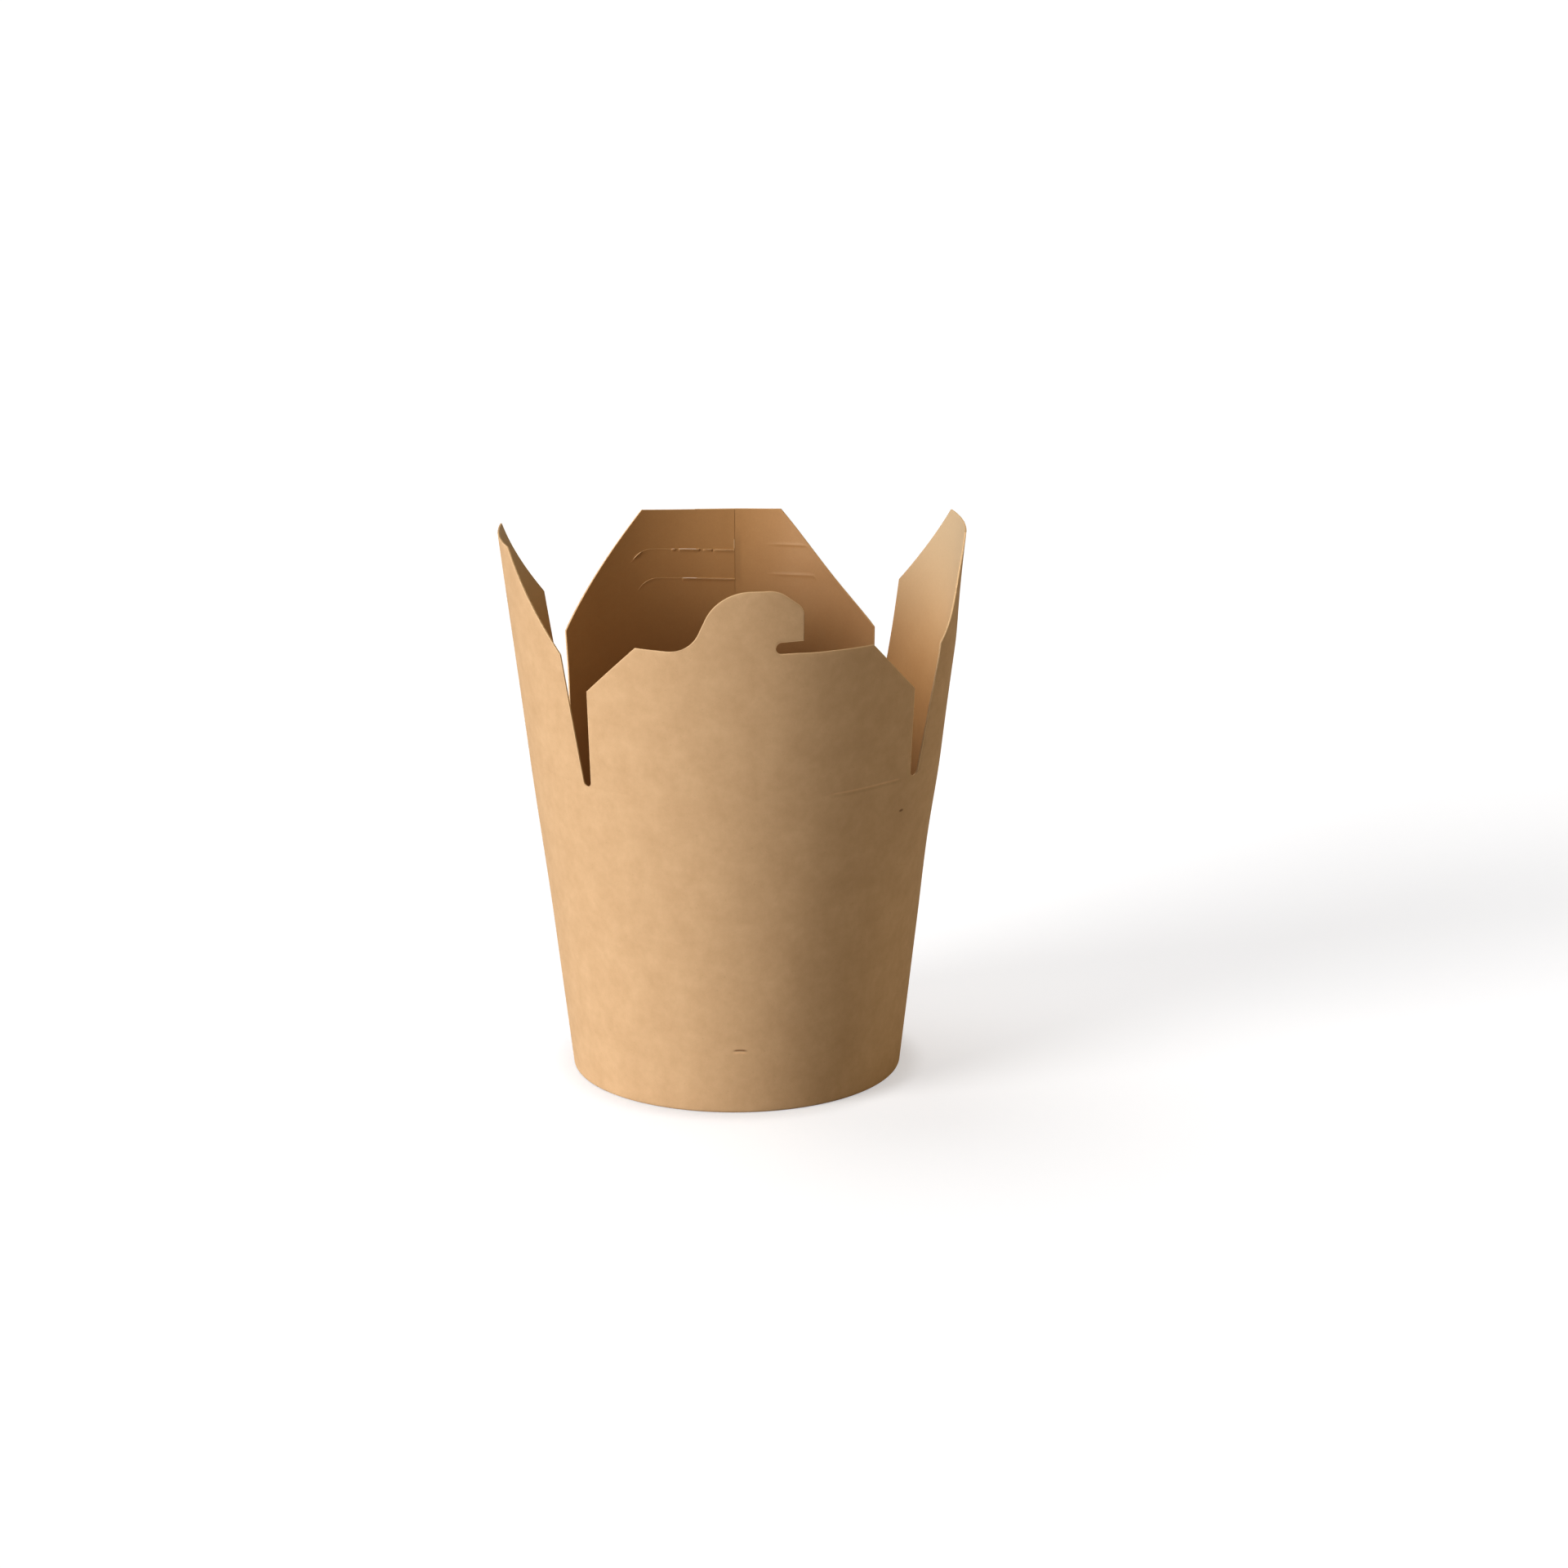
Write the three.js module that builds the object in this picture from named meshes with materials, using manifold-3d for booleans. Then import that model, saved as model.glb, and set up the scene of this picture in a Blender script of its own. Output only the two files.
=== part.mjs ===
// A round paperboard noodle box, standing open and empty: a tapered wall with its lower edge folded
// in round a raised bottom, and four flaps that fold on one crease line to close the mouth.
// Millimetres and degrees, +Z up, the front towards -Y, the origin at the middle of the base.
// An azimuth is 0 at the front and grows towards +X. The flaps are drawn on the flat blank, with x
// along the crease and y away from it, and rolled onto the cone that the wall belongs to.
import * as THREE from "three";
import { mergeVertices } from "three/addons/utils/BufferGeometryUtils.js";
import Module from "manifold-3d";

// Driving dimensions of the box
const BOARD = 0.5; // thickness of the kraft board
const BASE_RADIUS = 46; // outside of the wall, where it stands
const WALL_SLOPE = 0.118; // growth of the radius for each millimetre of height
const CREASE_HEIGHT = 92.8; // the fold line of the four flaps
const SLIT_AZIMUTH = 50.4; // of the slits, from the middle of the front or the back flap
const SLIT_END_RADIUS = 1.3; // the round end of a slit, which sits on the crease line
const GAP = 0.3; // clearance between two pieces that meet

// The corner of the rim that has sprung out of round, between the front and the right flap: its
// azimuth and spread, how far it stands out, and the heights between which that grows and then eases
// to the share that is left at the top.
const SPRUNG = {
  azimuth: 60,
  spread: 14,
  reach: 2.8,
  grows: [45, 95],
  eases: [125, 150],
  left: 0.25,
};

// The folded foot of the wall and the raised bottom that it holds
const FOOT_GAP = 0.2; // clearance on each side of the bottom's skirt
const FOOT_FOLD_HEIGHT = 6.8; // top of the leg that is folded in and up
const FOOT_BEND = 0.25; // bevel that stands for the round of the fold
const BOTTOM_HEIGHT = 8; // upper face of the bottom
const SKIRT_FOOT = 0.8; // lower end of the bottom's skirt

// Outlines of the flaps on the flat blank: half width and height at the shoulder, half width of the
// top edge and its height over the middle of the crease, and the lean, which is how far the outline
// drops for each millimetre towards +x. An arched top edge is an arc round the cone's apex.
const FRONT = {
  slit: SLIT_AZIMUTH,
  shoulder: [49.5, 24.8],
  cornerX: 34,
  top: 42.5,
  lean: 0.022,
  arched: true,
};
const BACK = { slit: SLIT_AZIMUTH, shoulder: [49.5, 20.2], cornerX: 20.5, top: 52.7, lean: -0.02 };
const SIDE = { slit: 90 - SLIT_AZIMUTH, shoulder: [36.6, 35.8], cornerX: 13.4, top: 62.2, lean: 0 };
const CENTRES = { front: 0, right: 90, back: 180, left: -90 };

// The hooked tab on the front flap, in the flap's own x and y
const HOOK = {
  top: 60.6, // top edge of the head
  filletRadius: 9.5, // the hollow round that leads up from the flap's top edge
  slope: 67, // the straight cut between that round and the crown
  crownRadius: 13.6, // the full round on the head's left
  crownX: -2, // the middle of that round
  noseX: 5.3, // where the head's right corner is cut off
  noseSlope: 38, // fall of that cut
  noseRadius: 4, // the round from that cut into the right side
  tipX: 12.3, // straight right side of the head
  lip: 45.8, // underside of the head, over the notch
  notch: 3.4, // height of the notch
  rootX: 4.6, // closed end of the notch, which is a half round
};

// The two tuck slits in the back flap: a straight run with a round end that turns down
const TUCK = { width: 0.4, seamX: -6.2, bendRadius: 8, bendTurn: 60 };
const TUCK_SLITS = [
  { height: 32.6, bendX: 15.7, tick: 0 },
  { height: 41, bendX: 17.4, tick: 2.6 }, // the tick is a short cut that turns up the seam
];

// How finely the board is divided
const AROUND = 72;
const WALL_ROWS = [12, 30, 48, 60, 70, 78, 86];
const FLAP_COLUMNS = { wide: 22, narrow: 16 };
const FLAP_ROWS = 6;
const HEAD_ROWS = 4;
const ARC_STEPS = 6;

const HALF_ANGLE = Math.atan(WALL_SLOPE);
const CREASE_RADIUS = BASE_RADIUS + WALL_SLOPE * CREASE_HEIGHT;
const APEX_TO_CREASE = CREASE_RADIUS / Math.sin(HALF_ANGLE);
const DEPTH_ACROSS = BOARD / Math.cos(HALF_ANGLE); // the board's thickness, measured level

const radians = THREE.MathUtils.degToRad;
const smooth = THREE.MathUtils.smoothstep;

// The outside of the board at a height: the plain cone, and the corner that stands out of round.
function outerRadius(azimuth, z) {
  const off = ((azimuth - SPRUNG.azimuth + 540) % 360) - 180;
  const around = Math.exp(-((off / SPRUNG.spread) ** 2));
  const up = smooth(z, ...SPRUNG.grows);
  const away = 1 - (1 - SPRUNG.left) * smooth(z, ...SPRUNG.eases);
  return BASE_RADIUS + WALL_SLOPE * z + SPRUNG.reach * around * up * away;
}

// A point in the board at an azimuth and height, at a level depth under its outer face.
function inBoard(azimuth, z, depth) {
  const r = outerRadius(azimuth, z) - depth;
  return [r * Math.sin(radians(azimuth)), -r * Math.cos(radians(azimuth)), z];
}

// The same for a point of the flat blank: its distance from the cone's apex gives the height, and
// its angle there, divided by the sine of the cone's half angle, gives the azimuth.
function onBlank(centre, x, y, depth) {
  const reach = Math.hypot(x, APEX_TO_CREASE + y);
  const turn = Math.atan2(x, APEX_TO_CREASE + y) / Math.sin(HALF_ANGLE);
  const z = CREASE_HEIGHT + (reach - APEX_TO_CREASE) * Math.cos(HALF_ANGLE);
  return inBoard(centre + THREE.MathUtils.radToDeg(turn), z, depth);
}

// The y of an arc round the cone's apex, which passes through (0, height).
const apexArc = (x, height) =>
  Math.sqrt((APEX_TO_CREASE + height) ** 2 - x * x) - APEX_TO_CREASE;

// The x of a slit's middle line at the crease, from the middle of a flap.
const slitX = (azimuth) => APEX_TO_CREASE * Math.sin(radians(azimuth) * Math.sin(HALF_ANGLE));

// Closed board over the triangles of a flat sheet: an outer skin, an inner skin and cut edges along
// every side that only one triangle has.
function boardOver(triangles, centre, outerDepth, innerDepth) {
  const points = [];
  const numbers = new Map();
  const numberOf = ([x, y]) => {
    const key = x.toFixed(4) + " " + y.toFixed(4);
    if (!numbers.has(key)) {
      numbers.set(key, points.length);
      points.push([x, y]);
    }
    return numbers.get(key);
  };
  const faces = triangles
    .map((corners) => corners.map(numberOf))
    .filter(([a, b, c]) => a !== b && b !== c && c !== a);
  const sides = new Set(faces.flatMap(([a, b, c]) => [a + ">" + b, b + ">" + c, c + ">" + a]));
  const inner = points.length;
  const index = [];
  for (const [a, b, c] of faces) {
    index.push(a, b, c, inner + c, inner + b, inner + a);
    for (const [from, to] of [[a, b], [b, c], [c, a]])
      if (!sides.has(to + ">" + from))
        index.push(from, inner + from, inner + to, from, inner + to, to);
  }
  const positions = [outerDepth, innerDepth].flatMap((depth) =>
    points.flatMap(([x, y]) => onBlank(centre, x, y, depth)),
  );
  return geometryOf(positions, index);
}

function geometryOf(positions, index) {
  const geometry = new THREE.BufferGeometry();
  geometry.setAttribute("position", new THREE.Float32BufferAttribute(positions, 3));
  geometry.setIndex(index);
  geometry.computeVertexNormals();
  return geometry;
}

// The triangles between columns of points that all have the same number of rows.
function between(columns) {
  const triangles = [];
  for (let i = 0; i + 1 < columns.length; i++)
    for (let j = 0; j + 1 < columns[i].length; j++) {
      const [a, b] = [columns[i][j], columns[i + 1][j]];
      const [c, d] = [columns[i + 1][j + 1], columns[i][j + 1]];
      triangles.push([a, b, c], [a, c, d]);
    }
  return triangles;
}

const steps = (from, to, count) =>
  Array.from({ length: count + 1 }, (_, i) => from + ((to - from) * i) / count);

// The edge of a flap from the crease to its shoulder, as a half width at a height over the crease:
// a quarter round at the end of the slit, then a straight cut.
function halfWidth(flap, height) {
  const middle = slitX(flap.slit);
  const straight = middle - SLIT_END_RADIUS;
  if (height < SLIT_END_RADIUS)
    return middle - Math.sqrt(SLIT_END_RADIUS ** 2 - (SLIT_END_RADIUS - height) ** 2);
  const shoulder = flap.shoulder[1] - apexArc(flap.shoulder[0], 0);
  const share = (height - SLIT_END_RADIUS) / (shoulder - SLIT_END_RADIUS);
  return straight + (flap.shoulder[0] - straight) * Math.min(share, 1);
}

// The upper edge of a flap at x: the slanted cuts, the top edge between them, and the lean.
function plainTop(flap, x) {
  const edge = (along) => (flap.arched ? apexArc(along, flap.top) : flap.top);
  const [shoulderX, shoulderY] = flap.shoulder;
  const past = Math.abs(x) - flap.cornerX;
  const slant = (shoulderY - edge(flap.cornerX)) / (shoulderX - flap.cornerX);
  return (past > 0 ? edge(flap.cornerX) + past * slant : edge(x)) - flap.lean * x;
}

// The columns of points of a flap at the places given, from the crease up to its upper edge.
function flapColumns(flap, places, upperEdge) {
  const foot = [GAP / 2, SLIT_END_RADIUS / 2, SLIT_END_RADIUS];
  return places.map((share) => {
    const crease = (x) => apexArc(x, 0);
    const x = share * flap.shoulder[0];
    const tall = upperEdge(x) - crease(x);
    const heights = [...foot, ...steps(SLIT_END_RADIUS, tall, FLAP_ROWS).slice(1)];
    return heights.map((height) => {
      const across = share * halfWidth(flap, height);
      return [across, crease(across) + height];
    });
  });
}

// Places across a flap from -1 to 1, with the corners and any other break in the edge among them.
function placesAcross(flap, count, breaks) {
  const corners = [-flap.cornerX, flap.cornerX];
  const marks = [-1, 1, ...[...corners, ...breaks].map((x) => x / flap.shoulder[0])];
  marks.sort((a, b) => a - b);
  return marks.flatMap((mark, i) => {
    if (i === 0) return [mark];
    const pieces = Math.max(1, Math.round(((mark - marks[i - 1]) * count) / 2));
    return steps(marks[i - 1], mark, pieces).slice(1);
  });
}

// The head's left side: a hollow round that starts on the flap's top edge, a straight cut, and the
// crown. The fillet's middle follows from the other sizes, because the cut touches both rounds.
const [slopeSine, slopeCosine] = [Math.sin(radians(HOOK.slope)), Math.cos(radians(HOOK.slope))];
const crownY = HOOK.top - HOOK.crownRadius;
const bothRadii = HOOK.crownRadius + HOOK.filletRadius;
const filletMiddle = (top) => {
  const rise = crownY + bothRadii * slopeCosine - (top + HOOK.filletRadius);
  return HOOK.crownX - bothRadii * slopeSine - (rise * slopeCosine) / slopeSine;
};
const roughTop = plainTop(FRONT, filletMiddle(FRONT.top));
const filletX = filletMiddle(roughTop);
const filletY = plainTop(FRONT, filletX) + HOOK.filletRadius;
const cutFrom = [filletX + HOOK.filletRadius * slopeSine, filletY - HOOK.filletRadius * slopeCosine];
const cutTo = [HOOK.crownX - HOOK.crownRadius * slopeSine, crownY + HOOK.crownRadius * slopeCosine];

// The head's right side: the corner is cut off, and a round leads from that cut to the straight side.
const noseMiddleX = HOOK.tipX - HOOK.noseRadius;
const noseEndX = noseMiddleX + HOOK.noseRadius * Math.sin(radians(HOOK.noseSlope));
const noseY = (x) => HOOK.top - (x - HOOK.noseX) * Math.tan(radians(HOOK.noseSlope));
const noseMiddleY = noseY(noseEndX) - HOOK.noseRadius * Math.cos(radians(HOOK.noseSlope));

function headTop(x) {
  if (x < cutFrom[0]) return filletY - Math.sqrt(HOOK.filletRadius ** 2 - (x - filletX) ** 2);
  if (x < cutTo[0]) return THREE.MathUtils.mapLinear(x, cutFrom[0], cutTo[0], cutFrom[1], cutTo[1]);
  if (x < HOOK.crownX) return crownY + Math.sqrt(HOOK.crownRadius ** 2 - (x - HOOK.crownX) ** 2);
  if (x < HOOK.noseX) return HOOK.top;
  if (x < noseEndX) return noseY(x);
  return noseMiddleY + Math.sqrt(Math.max(0, HOOK.noseRadius ** 2 - (x - noseMiddleX) ** 2));
}

// Half the height of the notch at x: a half round at its closed end, then straight.
const notchMiddle = HOOK.lip - HOOK.notch / 2;
const notchRound = HOOK.rootX + HOOK.notch / 2;
function notchHalf(x) {
  const half = HOOK.notch / 2;
  return x > notchRound ? half : Math.sqrt(Math.max(0, half ** 2 - (x - notchRound) ** 2));
}

// The front flap's own upper edge. Under the head it runs along the neck, from the fillet's start to
// the notch's closed end, and then along the notch's floor, which eases into the top edge.
function frontUpperEdge(x) {
  const top = plainTop(FRONT, x);
  const floorEnd = HOOK.tipX + HOOK.notch;
  if (x <= filletX || x >= floorEnd) return top;
  if (x <= HOOK.rootX)
    return THREE.MathUtils.mapLinear(x, filletX, HOOK.rootX, plainTop(FRONT, filletX), notchMiddle);
  return THREE.MathUtils.lerp(notchMiddle - notchHalf(x), top, smooth(x, notchRound, floorEnd));
}

// The x of every column that the head stands on: its arcs are divided by angle.
const arcPlaces = (middle, radius, from, to) =>
  steps(from, to, ARC_STEPS).map((angle) => middle + radius * Math.sin(radians(angle)));
const headPlaces = [
  ...arcPlaces(filletX, HOOK.filletRadius, 0, HOOK.slope),
  ...arcPlaces(HOOK.crownX, HOOK.crownRadius, -HOOK.slope, 0),
  (HOOK.crownX + HOOK.rootX) / 2,
  ...arcPlaces(notchRound, HOOK.notch / 2, -90, 0).filter((x, i) => i !== 1),
  (notchRound + noseEndX) / 2,
  ...arcPlaces(noseMiddleX, HOOK.noseRadius, HOOK.noseSlope, 90),
];

// The head's columns stand on the neck as far as the notch, and then on the lip over the notch.
function headColumns(neckPoints) {
  return headPlaces.map((x, i) => {
    const foot = x <= HOOK.rootX ? neckPoints[i] : [x, notchMiddle + notchHalf(x)];
    const top = Math.max(headTop(x), foot[1]);
    return steps(0, 1, HEAD_ROWS).map((share) => [
      THREE.MathUtils.lerp(foot[0], x, share),
      THREE.MathUtils.lerp(foot[1], top, share),
    ]);
  });
}

function frontFlap() {
  const places = placesAcross(FRONT, FLAP_COLUMNS.wide, headPlaces);
  const columns = flapColumns(FRONT, places, frontUpperEdge);
  const tops = columns.map((column) => column[column.length - 1]);
  const nearest = (x) =>
    tops.reduce((best, top) => (Math.abs(top[0] - x) < Math.abs(best[0] - x) ? top : best));
  const head = headColumns(headPlaces.map(nearest));
  return boardOver([...between(columns), ...between(head)], CENTRES.front, 0, DEPTH_ACROSS);
}

function plainFlap(flap, centre, count) {
  const places = placesAcross(flap, count, []);
  const columns = flapColumns(flap, places, (x) => plainTop(flap, x));
  return boardOver(between(columns), centre, 0, DEPTH_ACROSS);
}

// The middle line of a tuck slit: from the seam along the flap, then round and down.
function tuckPath({ height, bendX, tick }) {
  const { seamX, bendRadius, bendTurn } = TUCK;
  const bend = steps(0, bendTurn, ARC_STEPS).map((turn) => [
    bendX + bendRadius * Math.sin(radians(turn)),
    height - bendRadius * (1 - Math.cos(radians(turn))),
  ]);
  const start = tick ? [[seamX, height + tick]] : [];
  return [...start, ...steps(seamX, bendX, ARC_STEPS).map((x) => [x, height]), ...bend.slice(1)];
}

// A ribbon of the slit's width along its middle line, as columns of two points.
function ribbon(path) {
  const half = TUCK.width / 2;
  const columns = path.map(([x, y], i) => {
    const before = path[Math.max(i - 1, 0)];
    const after = path[Math.min(i + 1, path.length - 1)];
    const length = Math.hypot(after[0] - before[0], after[1] - before[1]);
    const across = [-(after[1] - before[1]) / length, (after[0] - before[0]) / length];
    return [
      [x - half * across[0], y - half * across[1]],
      [x + half * across[0], y + half * across[1]],
    ];
  });
  return between(columns);
}

const wasm = await Module();
wasm.setup();

function toSolid(geometry) {
  const bare = new THREE.BufferGeometry();
  bare.setAttribute("position", geometry.getAttribute("position"));
  bare.setIndex(geometry.index);
  const merged = mergeVertices(bare, 1e-4);
  const vertProperties = merged.attributes.position.array;
  return new wasm.Manifold(
    new wasm.Mesh({ numProp: 3, vertProperties, triVerts: new Uint32Array(merged.index.array) }),
  );
}

function toGeometry(solid) {
  const { vertProperties, triVerts } = solid.getMesh();
  return geometryOf(Array.from(vertProperties), Array.from(triVerts));
}

// The back flap with its tuck slits cut right through the board.
function backFlap() {
  const plain = toSolid(plainFlap(BACK, CENTRES.back, FLAP_COLUMNS.wide));
  const cut = TUCK_SLITS.reduce((solid, slit) => {
    const cutter = boardOver(ribbon(tuckPath(slit)), CENTRES.back, -BOARD, 3 * BOARD);
    return solid.subtract(toSolid(cutter));
  }, plain);
  return toGeometry(cut);
}

// The wall: one closed section, carried round the axis. It runs along the flat foot, up the outside,
// over the cut at the crease, down the inside, across the fold and up and over the folded leg.
function wall() {
  const top = CREASE_HEIGHT - GAP / 2;
  const skirtSpace = BOARD + 2 * FOOT_GAP;
  const legOuter = DEPTH_ACROSS + skirtSpace;
  const legInner = legOuter + DEPTH_ACROSS;
  const section = [
    [legInner - FOOT_BEND, 0],
    [FOOT_BEND, 0],
    [0, FOOT_BEND],
    ...WALL_ROWS.map((z) => [0, z]),
    [0, top],
    [DEPTH_ACROSS, top],
    ...[...WALL_ROWS].reverse().map((z) => [DEPTH_ACROSS, z]),
    [DEPTH_ACROSS, BOARD],
    [legOuter, BOARD],
    [legOuter, FOOT_FOLD_HEIGHT],
    [legInner, FOOT_FOLD_HEIGHT],
    [legInner, FOOT_BEND],
  ];
  const rows = section.length;
  const positions = [];
  const index = [];
  for (let i = 0; i < AROUND; i++)
    section.forEach(([depth, z], j) => {
      positions.push(...inBoard((360 * i) / AROUND, z, depth));
      const [a, b] = [i * rows + j, ((i + 1) % AROUND) * rows + j];
      const [c, d] = [((i + 1) % AROUND) * rows + ((j + 1) % rows), i * rows + ((j + 1) % rows)];
      index.push(a, b, c, a, c, d);
    });
  return geometryOf(positions, index);
}

// The bottom: a disc whose rim is turned down into a skirt, which stands in the wall's folded foot.
function bottom() {
  const outer = (z) => BASE_RADIUS + WALL_SLOPE * z - DEPTH_ACROSS - FOOT_GAP;
  const section = [
    [0, BOTTOM_HEIGHT - BOARD],
    [outer(BOTTOM_HEIGHT - BOARD) - BOARD, BOTTOM_HEIGHT - BOARD],
    [outer(SKIRT_FOOT) - BOARD, SKIRT_FOOT],
    [outer(SKIRT_FOOT), SKIRT_FOOT],
    [outer(BOTTOM_HEIGHT - BOARD), BOTTOM_HEIGHT - BOARD],
    [outer(BOTTOM_HEIGHT) - BOARD, BOTTOM_HEIGHT],
    [0, BOTTOM_HEIGHT],
  ];
  const profile = section.map(([r, z]) => new THREE.Vector2(r, z));
  return new THREE.LatheGeometry(profile, AROUND).rotateX(Math.PI / 2);
}

const kraft = { color: 0xc89b6a, roughness: 0.82, metalness: 0 };
const kraftInside = { color: 0xb98955, roughness: 0.62, metalness: 0 };

function piece(name, geometry, finish) {
  const mesh = new THREE.Mesh(geometry, new THREE.MeshStandardMaterial(finish));
  mesh.name = name;
  return mesh;
}

const box = new THREE.Group();
box.add(
  piece("wall", wall(), kraft),
  piece("bottom", bottom(), kraftInside),
  piece("front_flap", frontFlap(), kraft),
  piece("back_flap", backFlap(), kraft),
  piece("left_flap", plainFlap(SIDE, CENTRES.left, FLAP_COLUMNS.narrow), kraft),
  piece("right_flap", plainFlap(SIDE, CENTRES.right, FLAP_COLUMNS.narrow), kraft),
);

export default box;
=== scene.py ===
import bpy
import numpy as np
from mathutils import Matrix, Vector


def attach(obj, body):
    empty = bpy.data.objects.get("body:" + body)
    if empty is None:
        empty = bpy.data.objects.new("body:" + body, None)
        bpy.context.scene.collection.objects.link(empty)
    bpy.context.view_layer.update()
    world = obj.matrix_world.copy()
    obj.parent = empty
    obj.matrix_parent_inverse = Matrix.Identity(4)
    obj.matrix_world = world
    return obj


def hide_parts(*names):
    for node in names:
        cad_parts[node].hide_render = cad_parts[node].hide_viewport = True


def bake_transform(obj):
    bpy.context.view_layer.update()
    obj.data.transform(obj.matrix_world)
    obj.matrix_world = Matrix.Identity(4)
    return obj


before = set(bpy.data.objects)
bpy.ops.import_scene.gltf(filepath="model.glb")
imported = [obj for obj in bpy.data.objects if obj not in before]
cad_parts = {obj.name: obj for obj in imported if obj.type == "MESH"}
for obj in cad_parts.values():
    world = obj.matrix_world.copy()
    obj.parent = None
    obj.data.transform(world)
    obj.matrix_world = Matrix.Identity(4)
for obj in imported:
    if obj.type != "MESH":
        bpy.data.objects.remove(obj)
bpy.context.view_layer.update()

# The wall
# One die-cut sheet of unbleached kraft board, bent into a cone, and lapped and glued at the back.
# Its lower edge is folded in and up round the bottom's skirt, and the four flaps grow from the
# scored line at its top. Sizes are in millimetres and degrees; azimuth 0 is the front, +X is 90.
MM = 0.001
BOARD = 0.5
BASE_RADIUS = 46
WALL_SLOPE = 0.118
CREASE_HEIGHT = 92.8
FOOT_GAP = 0.2
FOOT_FOLD_HEIGHT = 6.8
FOOT_BEND = 0.75
LEAN = {"azimuth": -90, "shift": 0.65, "grows": (40, 90)}
SPRUNG = [
    {"azimuth": 60, "spread": 14, "reach": 3.5, "grows": (45, 95), "eases": (125, 150), "left": 0.25},
    {"azimuth": 128, "spread": 13, "reach": 1.9, "grows": (88, 108), "eases": (112, 150), "left": 0.2},
    {"azimuth": 92, "spread": 26, "reach": 0.8, "grows": (105, 145), "eases": (150, 160), "left": 1},
    {"azimuth": 98, "spread": 20, "reach": -0.7, "grows": (45, 85), "eases": (105, 145), "left": 0},
    {"azimuth": 148, "spread": 12, "reach": -1.4, "grows": (95, 118), "eases": (135, 155), "left": 0.2},
    {"azimuth": -128, "spread": 14, "reach": -0.6, "grows": (88, 108), "eases": (150, 160), "left": 1},
]
LAP = {
    "inner_edge": 173.7,
    "outer_edge": 184.0,
    "rise_from": 10.0,
    "rise_to": 1.0,
    "inner_step": 0.2,
    "outer_step": 0.4,
    "pressed": 0.14,
    "pressed_to": 4.0,
    "cut": 0.02,
}
SCORE = {"depth": 0.025, "width": 0.45, "worn_depth": 0.1, "worn": (19, 46), "fade": 3}
WAVES = [(0.1, 3, 40, 1.9), (0.06, 7, -20, 2.6), (0.03, 13, 75, -3.4)]
WAVES_GROW = (4, 70)
SHARP_ANGLE = 32

HALF_ANGLE = np.arctan(WALL_SLOPE)
APEX_TO_CREASE = (BASE_RADIUS + WALL_SLOPE * CREASE_HEIGHT) / np.sin(HALF_ANGLE)
DEPTH_ACROSS = BOARD / np.cos(HALF_ANGLE)


def smooth(value, start, end):
    """The smooth step 3t^2 - 2t^3, with t going from 0 to 1 between start and end."""
    t = np.clip((value - start) / (end - start), 0, 1)
    return t * t * (3 - 2 * t)


def half_turned(azimuth):
    """The azimuth brought to between -180 and 180."""
    return (azimuth + 180) % 360 - 180


def outer_radius(azimuth, z):
    """The cone's base + slope z, leaning to one side by shift cos(off), plus the places where a
    flap has sprung out or in, reach exp(-(off / spread)^2) grown and eased in height, plus slow waves
    sin(n a + phase + pitch z) that grow upwards, less the score at the crease,
    depth exp(-(height / width)^2), which is deeper where it has been worn."""
    leaning = LEAN["shift"] * np.cos(np.radians(azimuth - LEAN["azimuth"])) * smooth(z, *LEAN["grows"])
    sprung = 0
    for at in SPRUNG:
        off = half_turned(azimuth - at["azimuth"])
        height = smooth(z, *at["grows"]) * (1 - (1 - at["left"]) * smooth(z, *at["eases"]))
        sprung = sprung + at["reach"] * np.exp(-((off / at["spread"]) ** 2)) * height
    waves = sum(
        size * np.sin(np.radians(count * azimuth + phase + pitch * z))
        for size, count, phase, pitch in WAVES
    )
    first, last = SCORE["worn"]
    turned = half_turned(azimuth)
    worn = smooth(turned, first, first + SCORE["fade"]) * (1 - smooth(turned, last - SCORE["fade"], last))
    depth = SCORE["depth"] + SCORE["worn_depth"] * worn
    score = depth * np.exp(-(((z - CREASE_HEIGHT) / SCORE["width"]) ** 2))
    plain = BASE_RADIUS + WALL_SLOPE * z
    return plain + leaning + sprung + waves * smooth(z, *WAVES_GROW) - score


def place(azimuth, z, depth):
    """The point (r sin a, -r cos a, z), with r the outer radius less the level depth."""
    r = outer_radius(azimuth, z) - depth
    turn = np.radians(azimuth)
    return np.stack(np.broadcast_arrays(r * np.sin(turn), -r * np.cos(turn), z), -1)


def on_sheet(azimuth, reach):
    """Where a point lies on the flat blank: (reach sin t, reach cos t - apex distance), with the
    angle t at the apex equal to the azimuth times the sine of the cone's half angle."""
    turn = np.radians(azimuth) * np.sin(HALF_ANGLE)
    flat = (reach * np.sin(turn), reach * np.cos(turn) - APEX_TO_CREASE)
    return np.stack(np.broadcast_arrays(*flat), -1)


def lap_rise(azimuth, face):
    """How far a face is pushed out at the lap. The outer ply's faces take a smooth step before it,
    and the inner ply's face is pressed back by a little less at its edge and eases in beyond it."""
    past = azimuth % 360 - LAP["inner_edge"]
    before = LAP[face + "_step"] * smooth(past, -LAP["rise_from"], -LAP["rise_to"])
    beyond = LAP["pressed"] * (1 - smooth(past, 0, LAP["pressed_to"]))
    return np.where((face == "inner") & (past > 0), beyond, before)


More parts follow.
